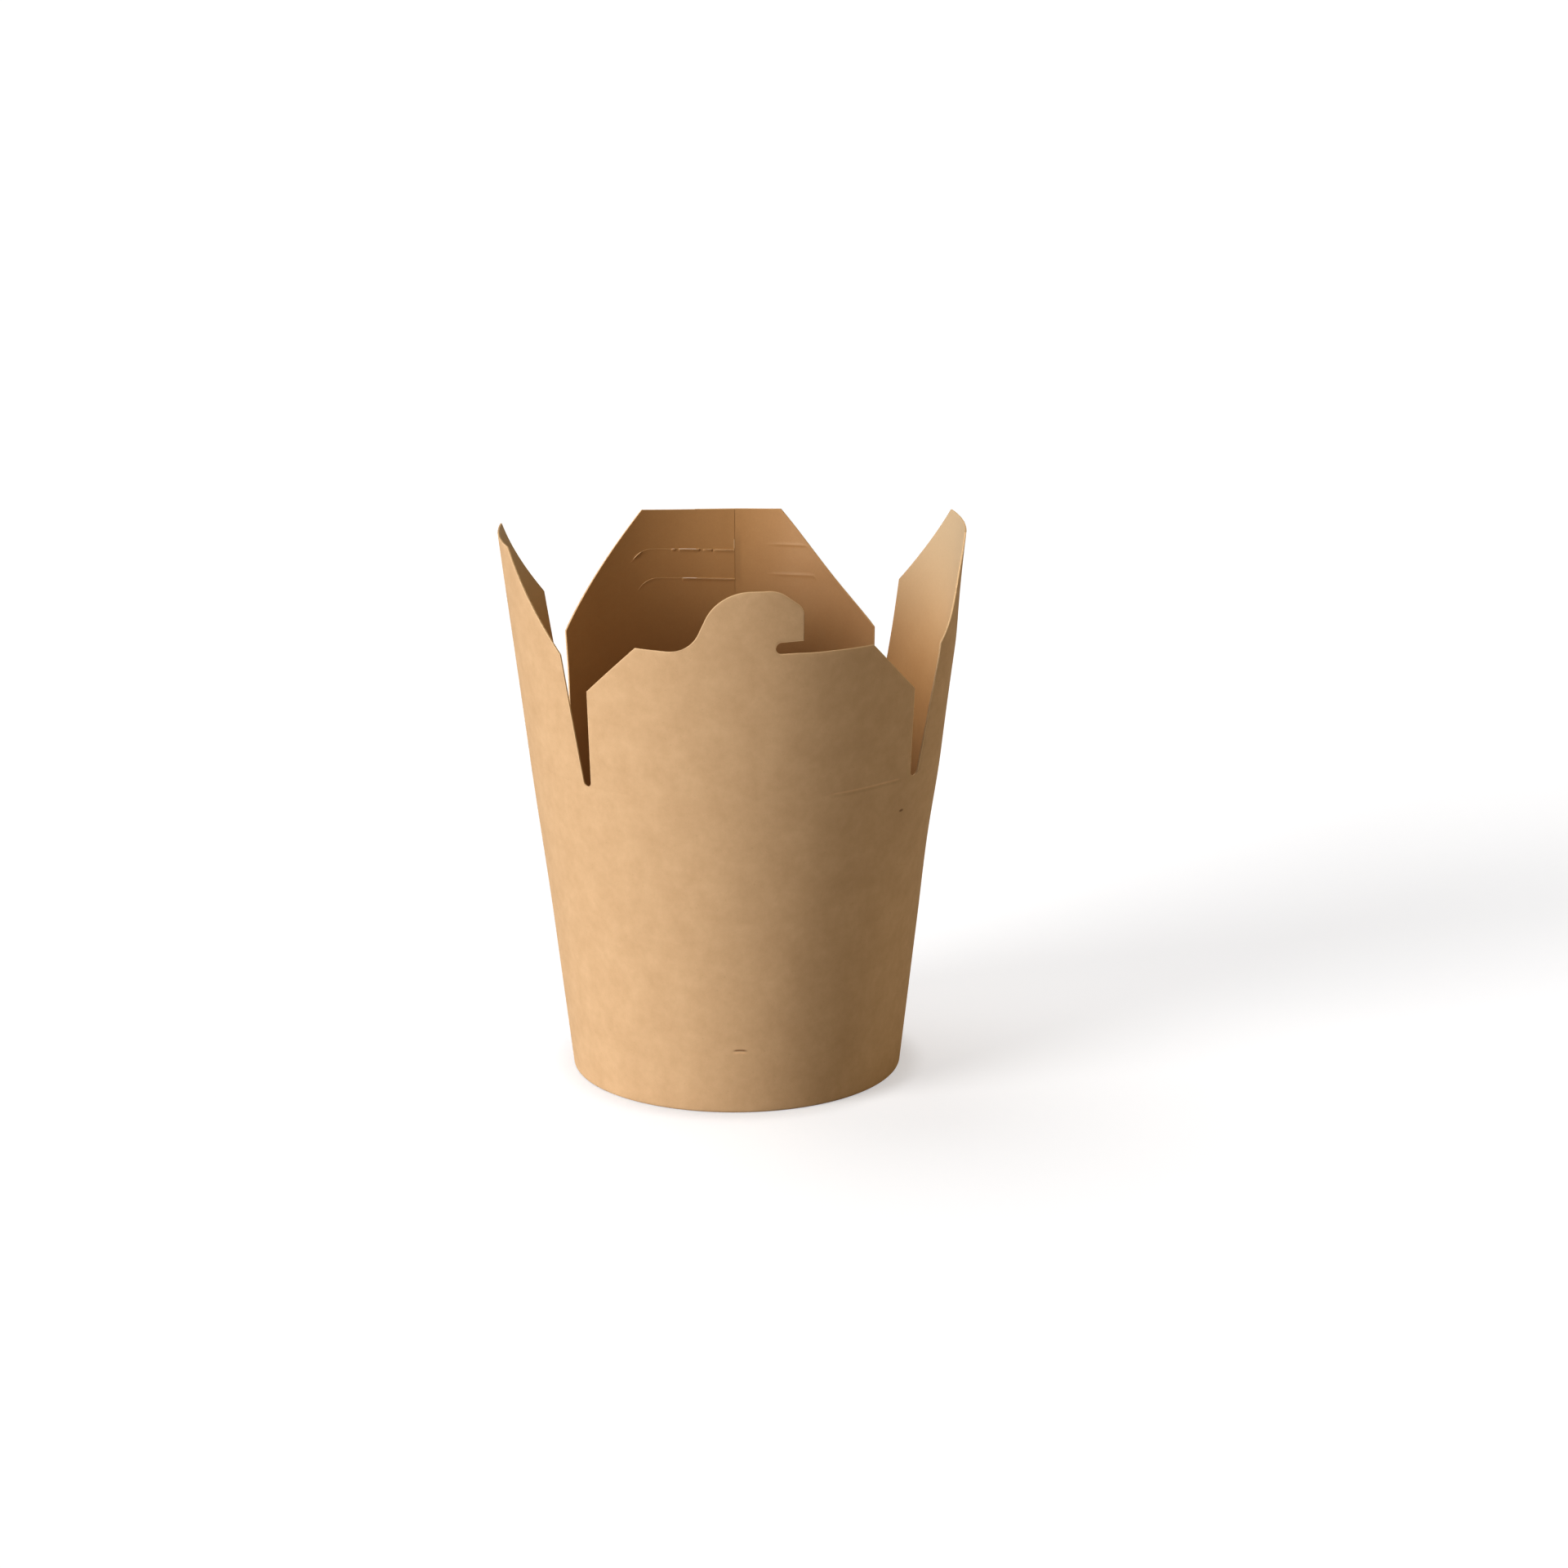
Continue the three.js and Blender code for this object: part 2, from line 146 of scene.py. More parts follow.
def make_piece(name, points, sheet, groups, finishes):
    """A mesh object from points in millimetres, their places on the flat sheet, and groups of
    faces, each an array of corner numbers with the number of its finish."""
    mesh = bpy.data.meshes.new(name)
    sizes = np.concatenate([np.full(len(faces), faces.shape[1]) for faces, _ in groups])
    corners = np.concatenate([faces.ravel() for faces, _ in groups])
    mesh.vertices.add(len(points))
    mesh.vertices.foreach_set("co", (points * MM).ravel())
    mesh.loops.add(len(corners))
    mesh.loops.foreach_set("vertex_index", corners)
    mesh.polygons.add(len(sizes))
    mesh.polygons.foreach_set("loop_start", np.concatenate([[0], np.cumsum(sizes)[:-1]]))
    mesh.polygons.foreach_set("loop_total", sizes)
    numbers = np.concatenate([np.full(len(faces), finish) for faces, finish in groups])
    mesh.polygons.foreach_set("material_index", numbers)
    mesh.update(calc_edges=True)
    mesh.validate()
    layer = mesh.uv_layers.new(name="blank")
    layer.data.foreach_set("uv", sheet[corners].ravel())
    mesh.shade_smooth()
    mesh.set_sharp_from_angle(angle=np.radians(SHARP_ANGLE))
    for finish in finishes:
        mesh.materials.append(finish)
    piece = bpy.data.objects.new(name, mesh)
    bpy.context.scene.collection.objects.link(piece)
    return piece


class Value:
    """A number, vector or colour that varies over a surface. Arithmetic on numbers adds Math nodes."""

    def __init__(self, shading, socket):
        self.shading = shading
        self.socket = socket

    def math(self, operation, *operands):
        """One Math node with the operands in its sockets, in order."""
        return self.shading.node("Math", {"operation": operation}, dict(enumerate(operands)))

    def __add__(self, other):
        return self.math("ADD", self, other)

    def __sub__(self, other):
        return self.math("SUBTRACT", self, other)

    def __rsub__(self, other):
        return self.math("SUBTRACT", other, self)

    def __mul__(self, other):
        return self.math("MULTIPLY", self, other)

    def __truediv__(self, other):
        return self.math("DIVIDE", self, other)

    def __pow__(self, other):
        return self.math("POWER", self, other)

    def __abs__(self):
        return self.math("ABSOLUTE", self)

    __radd__ = __add__
    __rmul__ = __mul__

    def ramp(self, start, end):
        """The smooth step from 0 at start to 1 at end, which may be the smaller of the two."""
        settings = {"interpolation_type": "SMOOTHSTEP"}
        sockets = {"Value": self, "From Min": min(start, end), "From Max": max(start, end)}
        made = self.shading.node("MapRange", settings, sockets)
        return made if start < end else 1 - made


class Shading:
    """A tree of nodes, all of them added by one method."""

    def __init__(self, tree):
        self.tree = tree

    def node(self, kind, settings=None, sockets=None, output=0):
        """Adds a node of a kind, makes its settings, then fills or links its sockets."""
        made = self.tree.nodes.new("ShaderNode" + kind)
        for name, value in (settings or {}).items():
            setattr(made, name, value)
        for name, value in (sockets or {}).items():
            self.plug(made.inputs[name], value)
        return Value(self, made.outputs[output])

    def plug(self, socket, value):
        """Links a value that varies to the socket, or sets the socket to a constant."""
        if isinstance(value, Value):
            self.tree.links.new(value.socket, socket)
        else:
            socket.default_value = value


class Finish(Shading):
    """A procedural material that reads the place on the flat sheet, in millimetres."""

    def __init__(self, name, constants):
        self.material = bpy.data.materials.new(name)
        self.material.use_nodes = True
        super().__init__(self.material.node_tree)
        self.shader = self.tree.nodes["Principled BSDF"]
        for socket, value in constants.items():
            self.shader.inputs[socket].default_value = value
        self.sheet = self.node("UVMap", {"uv_map": "blank"})
        self.across = self.node("SeparateXYZ", {}, {0: self.sheet}, 0)
        self.along = self.node("SeparateXYZ", {}, {0: self.sheet}, 1)
        from_apex = {0: self.sheet, 1: (0, APEX_TO_CREASE, 0)}
        reach = {0: self.node("VectorMath", {"operation": "ADD"}, from_apex)}
        self.height = self.node("VectorMath", {"operation": "LENGTH"}, reach, 1) - APEX_TO_CREASE

    def feed(self, socket, value):
        """Gives a value to one of the shader's own sockets."""
        self.plug(self.shader.inputs[socket], value)

    def grain(self, size, detail=2.0, stretch=(1, 1), turn=0.0):
        """Noise about 0 whose spots are about size across, drawn out by stretch along a turned line."""
        spun = {"Vector": self.sheet, "Rotation": (0, 0, np.radians(turn))}
        scaled = {"Vector": self.node("Mapping", {}, spun), "Scale": (1 / stretch[0], 1 / stretch[1], 1)}
        settings = {"noise_dimensions": "2D"}
        sockets = {"Vector": self.node("Mapping", {}, scaled), "Scale": 1 / size, "Detail": detail}
        return self.node("TexNoise", settings, sockets) - 0.5

    def past(self, azimuth):
        """The distance across the sheet past the straight line that an azimuth makes on it."""
        turn = np.radians(azimuth) * np.sin(HALF_ANGLE)
        return self.across * np.cos(turn) - (self.along + APEX_TO_CREASE) * np.sin(turn)

    def blended(self, share, first, second):
        """The colour first, going over to second as share goes from 0 to 1."""
        first, second = (c if isinstance(c, Value) else (*c, 1) for c in (first, second))
        return self.node("Mix", {"data_type": "RGBA"}, {0: share, 6: first, 7: second}, 2)

    def shaded(self, colour, brightness):
        """The colour times a number that varies about 1."""
        return self.node("VectorMath", {"operation": "SCALE"}, {0: colour, "Scale": brightness})

    def bump(self, height, distance):
        """Small relief of a height between -1 and 1, distance being its size in millimetres."""
        sockets = {"Height": height, "Distance": distance * MM, "Strength": 1.0}
        self.feed("Normal", self.node("Bump", {}, sockets))


KRAFT = (0.615, 0.425, 0.254)
KRAFT_BROWN = (0.575, 0.382, 0.218)
FLECK_DARK = (0.24, 0.13, 0.06)
OUTSIDE_TONE = {"brown": 1.2, "fibres": 0.05, "grit": 0.04, "clouds": -0.11, "lip": 0.16}
OUTSIDE_ROUGH = {"plain": 0.8, "fibres": 0.1}
OUTSIDE_RELIEF = {"fibres": 0.5, "grit": 0.4, "scratch": 1.5, "distance": 0.018}
FLECK_RANGE = (0.27, 0.36)
DARK_MARKS = {"fleck": 0.2, "speck": 0.8, "scratch": 0.9}
SPECK = {"azimuth": 47.1, "z": 83.4, "size": (0.8, 0.42), "edge": (1.2, 0.3)}
SCRATCH = {"azimuth": -5.0, "z": 19.6, "half_length": 2.3, "curve": 0.045}
SCRATCH_WIDTH = (0.42, 0.05)
SCRATCH_FADE = 0.4
# How far the lip, a painted highlight beside the scratch, lies from it, in scratch widths.
SCRATCH_HIGHLIGHT_OVER = 1.7
# Over a stretch of the crease: a pale line, scuffed fibres and painted highlight, and a dark line under it,
# painted shade.
CREASE_SCUFF_AND_SHADE = {"from": 20, "to": 46, "fade": 2.5, "light": 0.15, "crease_shade": 0.08}
SCUFF_AND_HIGHLIGHT_LINE = {"over": 0.15, "width": (0.4, 0.1)}
CREASE_PAINTED_SHADE = {"under": 0.6, "width": (0.6, 0.1)}


def flat_place(azimuth, z):
    """The place on the flat sheet of a point of the cone at an azimuth and a height."""
    return on_sheet(azimuth, APEX_TO_CREASE + (z - CREASE_HEIGHT) / np.cos(HALF_ANGLE))


def kraft_outside():
    """Bare kraft: soft pulp clouds of 2 to 8 mm, short fibres that lie two ways, sparse dark flecks, a
    dull fibrous surface, two small blemishes, a painted highlight beside the scratch, and over a stretch of
    the crease a pale line of scuffed fibres and painted highlight with a painted shade under it."""
    kraft = Finish("kraft_outside", {"Specular IOR Level": 0.35})
    clouds = kraft.grain(8, 3) * 0.8 + kraft.grain(2.4, 2) * 0.5
    fibres = kraft.grain(0.45, 3, stretch=(2, 1), turn=62) + kraft.grain(0.4, 3, stretch=(2, 1), turn=-38)
    grit = kraft.grain(0.3, 2)
    fleck = kraft.grain(0.5, 1, stretch=(2, 1), turn=35).ramp(*FLECK_RANGE)
    u, v = flat_place(SPECK["azimuth"], SPECK["z"])
    width, height = SPECK["size"]
    reach = ((kraft.across - u) / width) ** 2 + ((kraft.along - v) / height) ** 2
    speck = reach.ramp(*SPECK["edge"])
    u, v = flat_place(SCRATCH["azimuth"], SCRATCH["z"])
    line = kraft.along - v + (kraft.across - u) ** 2 * SCRATCH["curve"]
    half_length = SCRATCH["half_length"]
    ends = abs(kraft.across - u).ramp(half_length, SCRATCH_FADE * half_length)
    scratch = abs(line).ramp(*SCRATCH_WIDTH) * ends
    # lip: a painted highlight along one side of the scratch.
    lip = abs(line + SCRATCH_HIGHLIGHT_OVER * SCRATCH_WIDTH[0]).ramp(*SCRATCH_WIDTH) * ends
    colour = kraft.blended(clouds * OUTSIDE_TONE["brown"] + 0.5, KRAFT, KRAFT_BROWN)
    marks = fleck * DARK_MARKS["fleck"] + speck * DARK_MARKS["speck"] + scratch * DARK_MARKS["scratch"]
    colour = kraft.blended(marks, colour, FLECK_DARK)
    # A pale line over the worn crease, scuffed fibres and painted highlight, and a dark line under it,
    # painted shade.
    begun = kraft.past(CREASE_SCUFF_AND_SHADE["from"]).ramp(0, CREASE_SCUFF_AND_SHADE["fade"])
    on_worn_crease = begun * kraft.past(CREASE_SCUFF_AND_SHADE["to"]).ramp(0, -CREASE_SCUFF_AND_SHADE["fade"])
    light = abs(kraft.height - SCUFF_AND_HIGHLIGHT_LINE["over"]).ramp(*SCUFF_AND_HIGHLIGHT_LINE["width"]) * CREASE_SCUFF_AND_SHADE["light"]
    crease_shade = abs(kraft.height + CREASE_PAINTED_SHADE["under"]).ramp(*CREASE_PAINTED_SHADE["width"]) * CREASE_SCUFF_AND_SHADE["crease_shade"]
    bright = 1 + fibres * OUTSIDE_TONE["fibres"] + grit * OUTSIDE_TONE["grit"]
    bright = bright + clouds * OUTSIDE_TONE["clouds"] + lip * OUTSIDE_TONE["lip"]
    kraft.feed("Base Color", kraft.shaded(colour, bright + on_worn_crease * (light - crease_shade)))
    kraft.feed("Roughness", OUTSIDE_ROUGH["plain"] + fibres * OUTSIDE_ROUGH["fibres"])
    relief = fibres * OUTSIDE_RELIEF["fibres"] + grit * OUTSIDE_RELIEF["grit"]
    relief = relief - scratch * OUTSIDE_RELIEF["scratch"] - speck
    kraft.bump(relief, OUTSIDE_RELIEF["distance"])
    return kraft.material


CUT = (0.7, 0.5, 0.3)
INSIDE = (0.5, 0.294, 0.132)
INSIDE_BROWN = (0.46, 0.257, 0.107)
INSIDE_TONE = {"brown": 0.8, "fibres": 0.06, "tick_highlight": 0.8}
INSIDE_ROUGH = {"plain": 0.55, "clouds": 0.12}
INSIDE_RELIEF = {"fibres": 0.5, "clouds": 0.3, "distance": 0.012}
# A band beside the lap's inner edge, darkened: painted shade of the lap's step.
LAP_PAINTED_SHADE = {"width": (2.3, 1.2), "from": (30, 33), "to": (47, 42), "shade": -0.09}
# Where the painted highlight at the upper slit's end runs: its width across the edge and its heights.
TICK_HIGHLIGHT = {"width": (0.34, 0.2), "from": (40.6, 41), "to": (43.8, 43.2)}


def kraft_inside(name, marks=None):
    """The same kraft under a thin greaseproof film: a little darker, satin, with finer relief. Beside
    the lap's inner edge a band is darkened, a painted shade of the lap's step, and at the upper slit's end
    a thin pale stripe runs up the inner ply's edge, a painted highlight. The function marks may change the
    colour further."""
    inside = Finish(name, {"Specular IOR Level": 0.4})
    clouds = inside.grain(9, 3) * 0.8 + inside.grain(2.2, 2) * 0.4
    fibres = inside.grain(0.45, 3, stretch=(2, 1), turn=-58) + inside.grain(0.4, 3, stretch=(2, 1), turn=40)
    colour = inside.blended(clouds * INSIDE_TONE["brown"] + 0.5, INSIDE, INSIDE_BROWN)
    # Painted shade of the lap's step, in a band on both sides of the inner ply's edge.
    beside = abs(inside.past(LAP["inner_edge"])).ramp(*LAP_PAINTED_SHADE["width"])
    lap_shade = beside * inside.height.ramp(*LAP_PAINTED_SHADE["from"]) * inside.height.ramp(*LAP_PAINTED_SHADE["to"])
    # Painted highlight: a thin pale stripe up the inner ply's edge just over the upper slit.
    beside = abs(inside.past(LAP["inner_edge"] - 360)).ramp(*TICK_HIGHLIGHT["width"])
    tick_highlight = beside * inside.height.ramp(*TICK_HIGHLIGHT["from"]) * inside.height.ramp(*TICK_HIGHLIGHT["to"])
    colour = inside.blended(tick_highlight * INSIDE_TONE["tick_highlight"], colour, CUT)
    colour = marks(inside, colour) if marks else colour
    bright = 1 + fibres * INSIDE_TONE["fibres"] + lap_shade * LAP_PAINTED_SHADE["shade"]
    inside.feed("Base Color", inside.shaded(colour, bright))
    inside.feed("Roughness", INSIDE_ROUGH["plain"] + clouds * INSIDE_ROUGH["clouds"])
    relief = fibres * INSIDE_RELIEF["fibres"] + clouds * INSIDE_RELIEF["clouds"]
    inside.bump(relief, INSIDE_RELIEF["distance"])
    return inside.material


def cut_edge():
    """The die-cut edge: pale torn pulp, streaked across the sheet."""
    edge = Finish("cut_edge", {"Roughness": 0.9, "Specular IOR Level": 0.2})
    streaks = edge.grain(0.35, 3)
    edge.feed("Base Color", edge.shaded(CUT, 1 + streaks * 0.2))
    edge.bump(streaks, 0.02)
    return edge.material


OUTSIDE, COATED, EDGE = 0, 1, 2
finishes = [kraft_outside(), kraft_inside("kraft_inside"), cut_edge()]

UNDER_CREASE = [0, 0.15, 0.3, 0.5, 0.8, 1.3, 2.2]
EVEN_ROWS = {"top": 89, "end": FOOT_BEND + 1, "count": 48}
BEND_POINTS = 7
INNER_BEND_POINTS = 4
LEG_POINTS = 8
AROUND_STEP = 1.25

even_rows = np.linspace(EVEN_ROWS["top"], EVEN_ROWS["end"], EVEN_ROWS["count"])
wall_rows = np.concatenate([CREASE_HEIGHT - np.array(UNDER_CREASE), even_rows])


def arc(middle, radius, start, end, count):
    """Points middle + radius (cos t, sin t), with t going from start to end."""
    t = np.radians(np.linspace(start, end, count))
    return np.stack([middle[0] + radius * np.cos(t), middle[1] + radius * np.sin(t)], -1)


def wall_section():
    """The wall's closed section as (level depth, height), with the finish of each stretch. From the
    crease it runs down the outside, round the fold in two quarter rounds, up the folded leg, over
    its cut edge, back down and up the inside, as offsets of one path."""
    leg_outer = DEPTH_ACROSS + BOARD + 2 * FOOT_GAP
    leg_inner = leg_outer + DEPTH_ACROSS
    inner_bend = FOOT_BEND - BOARD
    heights = np.linspace(FOOT_BEND, FOOT_FOLD_HEIGHT, LEG_POINTS)
    outside = np.stack([np.zeros(len(wall_rows)), wall_rows], -1)
    fold = np.concatenate([
        arc((FOOT_BEND, FOOT_BEND), FOOT_BEND, 180, 270, BEND_POINTS),
        arc((leg_inner - FOOT_BEND, FOOT_BEND), FOOT_BEND, 270, 360, BEND_POINTS),
        np.stack([np.full(LEG_POINTS - 1, leg_inner), heights[1:]], -1),
    ])
    back = np.concatenate([
        np.stack([np.full(LEG_POINTS, leg_outer), heights[::-1]], -1),
        arc((leg_outer - inner_bend, FOOT_BEND), inner_bend, 0, -90, INNER_BEND_POINTS)[1:],
        arc((DEPTH_ACROSS + inner_bend, FOOT_BEND), inner_bend, 270, 180, INNER_BEND_POINTS),
        np.stack([np.full(len(wall_rows), DEPTH_ACROSS), wall_rows[::-1]], -1),
    ])
    parts = [(outside, OUTSIDE), (fold, OUTSIDE), (back, COATED)]
    section = np.concatenate([part for part, _ in parts])
    finish = np.concatenate([np.full(len(part), number) for part, number in parts])
    return section, finish


def wall():
    """The section carried round the axis at every azimuth. The outer face stands out by the lap's
    rise up to the outer ply's edge, and the inner face up to the inner ply's edge, but not the
    folded leg, which lies deeper than the inner face by more than the board."""
    steps = [LAP[edge] + side * LAP["cut"] for edge in ("inner_edge", "outer_edge") for side in (-1, 1)]
    around = np.unique(np.concatenate([np.arange(-170, 190, AROUND_STEP), steps]))[:, None]
    section, finish = wall_section()
    depth, z = section.T
    outer = np.arange(len(z)) < len(wall_rows) + BEND_POINTS
    outer_rise = lap_rise(around, "outer") * (around < LAP["outer_edge"]) * (around > 0)
    inner_rise = lap_rise(around, "inner") * (around > 0)
    leg = depth > DEPTH_ACROSS + BOARD
    rise = np.where(outer, outer_rise, inner_rise * ~leg)
    points = place(around, z, depth - rise)
    ply_edge = np.where(finish == OUTSIDE, LAP["outer_edge"], LAP["inner_edge"])
    turned = np.where(around < ply_edge, around, around - 360)
    run = np.concatenate([[0], np.cumsum(np.hypot(*np.diff(section, axis=0).T))])
    down = np.where(finish == OUTSIDE, run, run[-1] - run)
    sheet = on_sheet(turned, APEX_TO_CREASE - down)
    columns, rows = points.shape[:2]
    number = np.arange(columns * rows).reshape(columns, rows)
    after = np.roll(number, -1, 0)
    quads = np.stack([np.roll(number, -1, 1), np.roll(after, -1, 1), after, number], -1)
    edges = np.zeros((columns, rows), bool)
    edges[:, np.roll(finish, -1) != finish] = True
    at = around[:, 0]
    lap_cut = np.isclose(at, LAP["outer_edge"] - LAP["cut"])
    edges |= lap_cut[:, None] & (finish == OUTSIDE)
    groups = [(quads[edges], EDGE)]
    groups += [(quads[~edges & (finish == face)], face) for face in (OUTSIDE, COATED)]
    return make_piece("cup_wall", points.reshape(-1, 3), sheet.reshape(-1, 2), groups, finishes)


cup_wall = wall()
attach(cup_wall, "cup")
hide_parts("wall")


# The bottom
# A separate disc of the same board, coated face up. Its rim is drawn down into a skirt that the
# wall's folded edge holds, so that the bottom sits a little above the table.
BOTTOM_HEIGHT = 8
SKIRT_FOOT = 0.8
RIM_BEND = 1.2
SAG = {"middle": 0.35, "two": 0.18, "three": 0.108, "turned": 1, "flat_rim": 8}
DISC_POINTS = 24
BOTTOM_STEP = 2.5


def skirt_radius(z):
    """The outside of the skirt, which fits the wall's inner face with the foot's gap."""
    return BASE_RADIUS + WALL_SLOPE * z - DEPTH_ACROSS - FOOT_GAP


def level_run(start, end, height):
    """Points of the section at one height, from one radius to another."""
    return np.stack([np.linspace(start, end, DISC_POINTS), np.full(DISC_POINTS, height)], -1)


def bottom():
    """The section, from the axis out over the rim's quarter round, down the skirt, and back under,
    carried round the axis. The disc sags by middle (1 - (r / rim)^2) and by two waves, two cos 2a
    and three sin 3a, that grow with r^2, and all of it is nothing at the rim."""
    rim = skirt_radius(BOTTOM_HEIGHT)
    lean = WALL_SLOPE * RIM_BEND
    top = level_run(0, rim - RIM_BEND, BOTTOM_HEIGHT)
    bend = arc((rim - RIM_BEND, BOTTOM_HEIGHT - RIM_BEND), RIM_BEND, 90, 0, BEND_POINTS)[1:]
    bend[:, 0] -= lean * (BOTTOM_HEIGHT - bend[:, 1]) / RIM_BEND
    foot_radius = skirt_radius(SKIRT_FOOT)
    foot = np.array([[foot_radius, SKIRT_FOOT], [foot_radius - BOARD, SKIRT_FOOT]])
    inner_bend = bend[::-1] - [[BOARD, 0]]
    inner_bend[:, 1] = np.minimum(inner_bend[:, 1], BOTTOM_HEIGHT - BOARD)
    under = level_run(rim - RIM_BEND - BOARD, 0, BOTTOM_HEIGHT - BOARD)
    section = np.concatenate([top, bend, foot, inner_bend, under])
    upper = len(top) + len(bend) + 1
    around = np.radians(np.arange(0, 360, BOTTOM_STEP))[:, None]
    r, z = section.T
    waves = SAG["two"] * np.cos(2 * around + SAG["turned"]) + SAG["three"] * np.sin(3 * around)
    sag = SAG["middle"] * (1 - (r / rim) ** 2) + waves * np.clip(r / rim, 0, 1) ** 2
    height = z - sag * (1 - smooth(r, rim - SAG["flat_rim"], rim - RIM_BEND))
    points = np.stack(np.broadcast_arrays(r * np.sin(around), -r * np.cos(around), height), -1)
    run = np.concatenate([[0], np.cumsum(np.hypot(*np.diff(section, axis=0).T))])
    run = np.where(np.arange(len(r)) < upper, run, run[-1] - run)
    sheet = np.stack(np.broadcast_arrays(run * np.sin(around), -run * np.cos(around)), -1)
    columns, rows = points.shape[:2]
    number = np.arange(columns * rows).reshape(columns, rows)
    number[:, 0], number[:, -1] = 0, columns * rows - 1
    after = np.roll(number, -1, 0)
    quads = np.stack([number[:, :-1], number[:, 1:], after[:, 1:], after[:, :-1]], -1)
    coated = quads[:, 1:upper - 1].reshape(-1, 4)
    rest = quads[:, upper:-1].reshape(-1, 4)
    groups = [(quads[:, 0, [0, 1, 2]], COATED), (quads[:, -1, [0, 1, 3]], OUTSIDE)]
    groups += [(coated, COATED), (quads[:, upper - 1], EDGE), (rest, OUTSIDE)]
    used = np.unique(np.concatenate([faces.ravel() for faces, _ in groups]))
    fresh = np.zeros(columns * rows, int)
    fresh[used] = np.arange(len(used))
    groups = [(fresh[faces], finish) for faces, finish in groups]
    points, sheet = points.reshape(-1, 3)[used], sheet.reshape(-1, 2)[used]
    return make_piece("cup_bottom", points, sheet, groups, finishes)


cup_bottom = bottom()
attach(cup_bottom, "cup")
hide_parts("bottom")


# The front flap
# Part of the same sheet as the wall, parted from the side flaps by a slit at each side. Its upper
# edge carries the hooked tab that locks the closed box. Flaps are drawn on the flat blank, with x
# along the crease and y away from it, and rolled onto the wall's cone.
SLIT_AZIMUTH = 50.4
SLIT_END_RADIUS = 1.3
FRONT = {
    "slit": SLIT_AZIMUTH,
    "shoulder": (49.5, 24.8),
    "corner_x": 34,
    "top": 42.5,
    "lean": 0.022,
    "arch": 1,
}
HOOK = {
    "top": 60.6,
    "fillet_radius": 9.5,
    "slope": 67,
    "crown_radius": 13.6,
    "crown_x": -2,
    "nose_x": 5.3,
    "nose_slope": 38,
    "nose_bend": 8,
    "nose_radius": 4,
    "tip_x": 12.3,
    "lip": 45.8,
    "notch": 3.4,
    "root_x": 4.6,
}
EDGE_ROUND = [(0.14, 0.035), (0.5, 0.055), (0.86, 0.035)]
EDGE_WORN = {"by": 0.16, "grows": (0.3, 2)}
FOLLOWS_EDGE = (0.35, 1)
SETTLING_ROUNDS = 40
FRONT_GRID = {"spacing": 1.5, "rows": 30, "head_rows": 14}
FOOT_HEIGHTS = np.array([0, 0.1, 0.22, 0.4, 0.62, 0.9, SLIT_END_RADIUS])


def apex_arc(x, height):
    """The y of an arc round the cone's apex that passes through (0, height)."""
    return np.sqrt((APEX_TO_CREASE + height) ** 2 - x**2) - APEX_TO_CREASE


def slit_x(azimuth):
    """The x of a slit's middle line at the crease."""
    return APEX_TO_CREASE * np.sin(np.radians(azimuth) * np.sin(HALF_ANGLE))


def half_width(flap, height):
    """The flap's edge at a height over the crease: a quarter round at the end of the slit, then a
    straight cut to the shoulder, and no wider above it."""
    middle = slit_x(flap["slit"])
    straight = middle - SLIT_END_RADIUS
    down = np.clip(SLIT_END_RADIUS - height, 0, SLIT_END_RADIUS)
    rounded = middle - np.sqrt(SLIT_END_RADIUS**2 - down**2)
    shoulder_x, shoulder_y = flap["shoulder"]
    shoulder = shoulder_y - apex_arc(shoulder_x, 0)
    share = np.clip((height - SLIT_END_RADIUS) / (shoulder - SLIT_END_RADIUS), 0, 1)
    return np.where(height < SLIT_END_RADIUS, rounded, straight + (shoulder_x - straight) * share)


def top_edge(flap, x):
    """The top edge at x: straight at arch 0, an arc round the apex at arch 1, hollow below 0."""
    return flap["top"] + flap["arch"] * (apex_arc(x, flap["top"]) - flap["top"])


def plain_top(flap, x):
    """The upper edge at x: the slanted cuts, the top edge between them, and the lean."""
    shoulder_x, shoulder_y = flap["shoulder"]
    corner_x = flap["corner_x"]
    past = np.abs(x) - corner_x
    corner = top_edge(flap, corner_x)
    slant = (shoulder_y - corner) / (shoulder_x - corner_x)
    level = np.where(past > 0, corner + past * slant, top_edge(flap, np.minimum(np.abs(x), corner_x)))
    return level - flap["lean"] * x


def across_flap(flap, share, height):
    """The x of a column at a height: a line of the cone near the middle of the flap, which goes
    over to following the cut edge towards its sides."""
    to_side = smooth(np.abs(share), *FOLLOWS_EDGE)
    of_cone = slit_x(flap["slit"]) * (1 + height / APEX_TO_CREASE)
    return share * ((1 - to_side) * of_cone + to_side * half_width(flap, height))


def share_at(flap, x, height):
    """The column that passes through x at a height, by repeated substitution. The middle column,
    where both are 0, stays as it is."""
    share = x / flap["shoulder"][0]
    for _ in range(SETTLING_ROUNDS):
        wide = across_flap(flap, share, height)
        share = np.where(share == 0, 0, x * share / np.where(wide == 0, 1, wide))
    return share


def places_across(flap, spacing, marks):
    """The x of columns from shoulder to shoulder, evenly spaced between the marks."""
    shoulder = flap["shoulder"][0]
    marks = np.unique([-shoulder, -flap["corner_x"], flap["corner_x"], shoulder, *marks])
    pieces = [
        np.linspace(a, b, max(1, round((b - a) / spacing)) + 1)[:-1] for a, b in zip(marks, marks[1:])
    ]
    return np.concatenate([*pieces, [shoulder]])


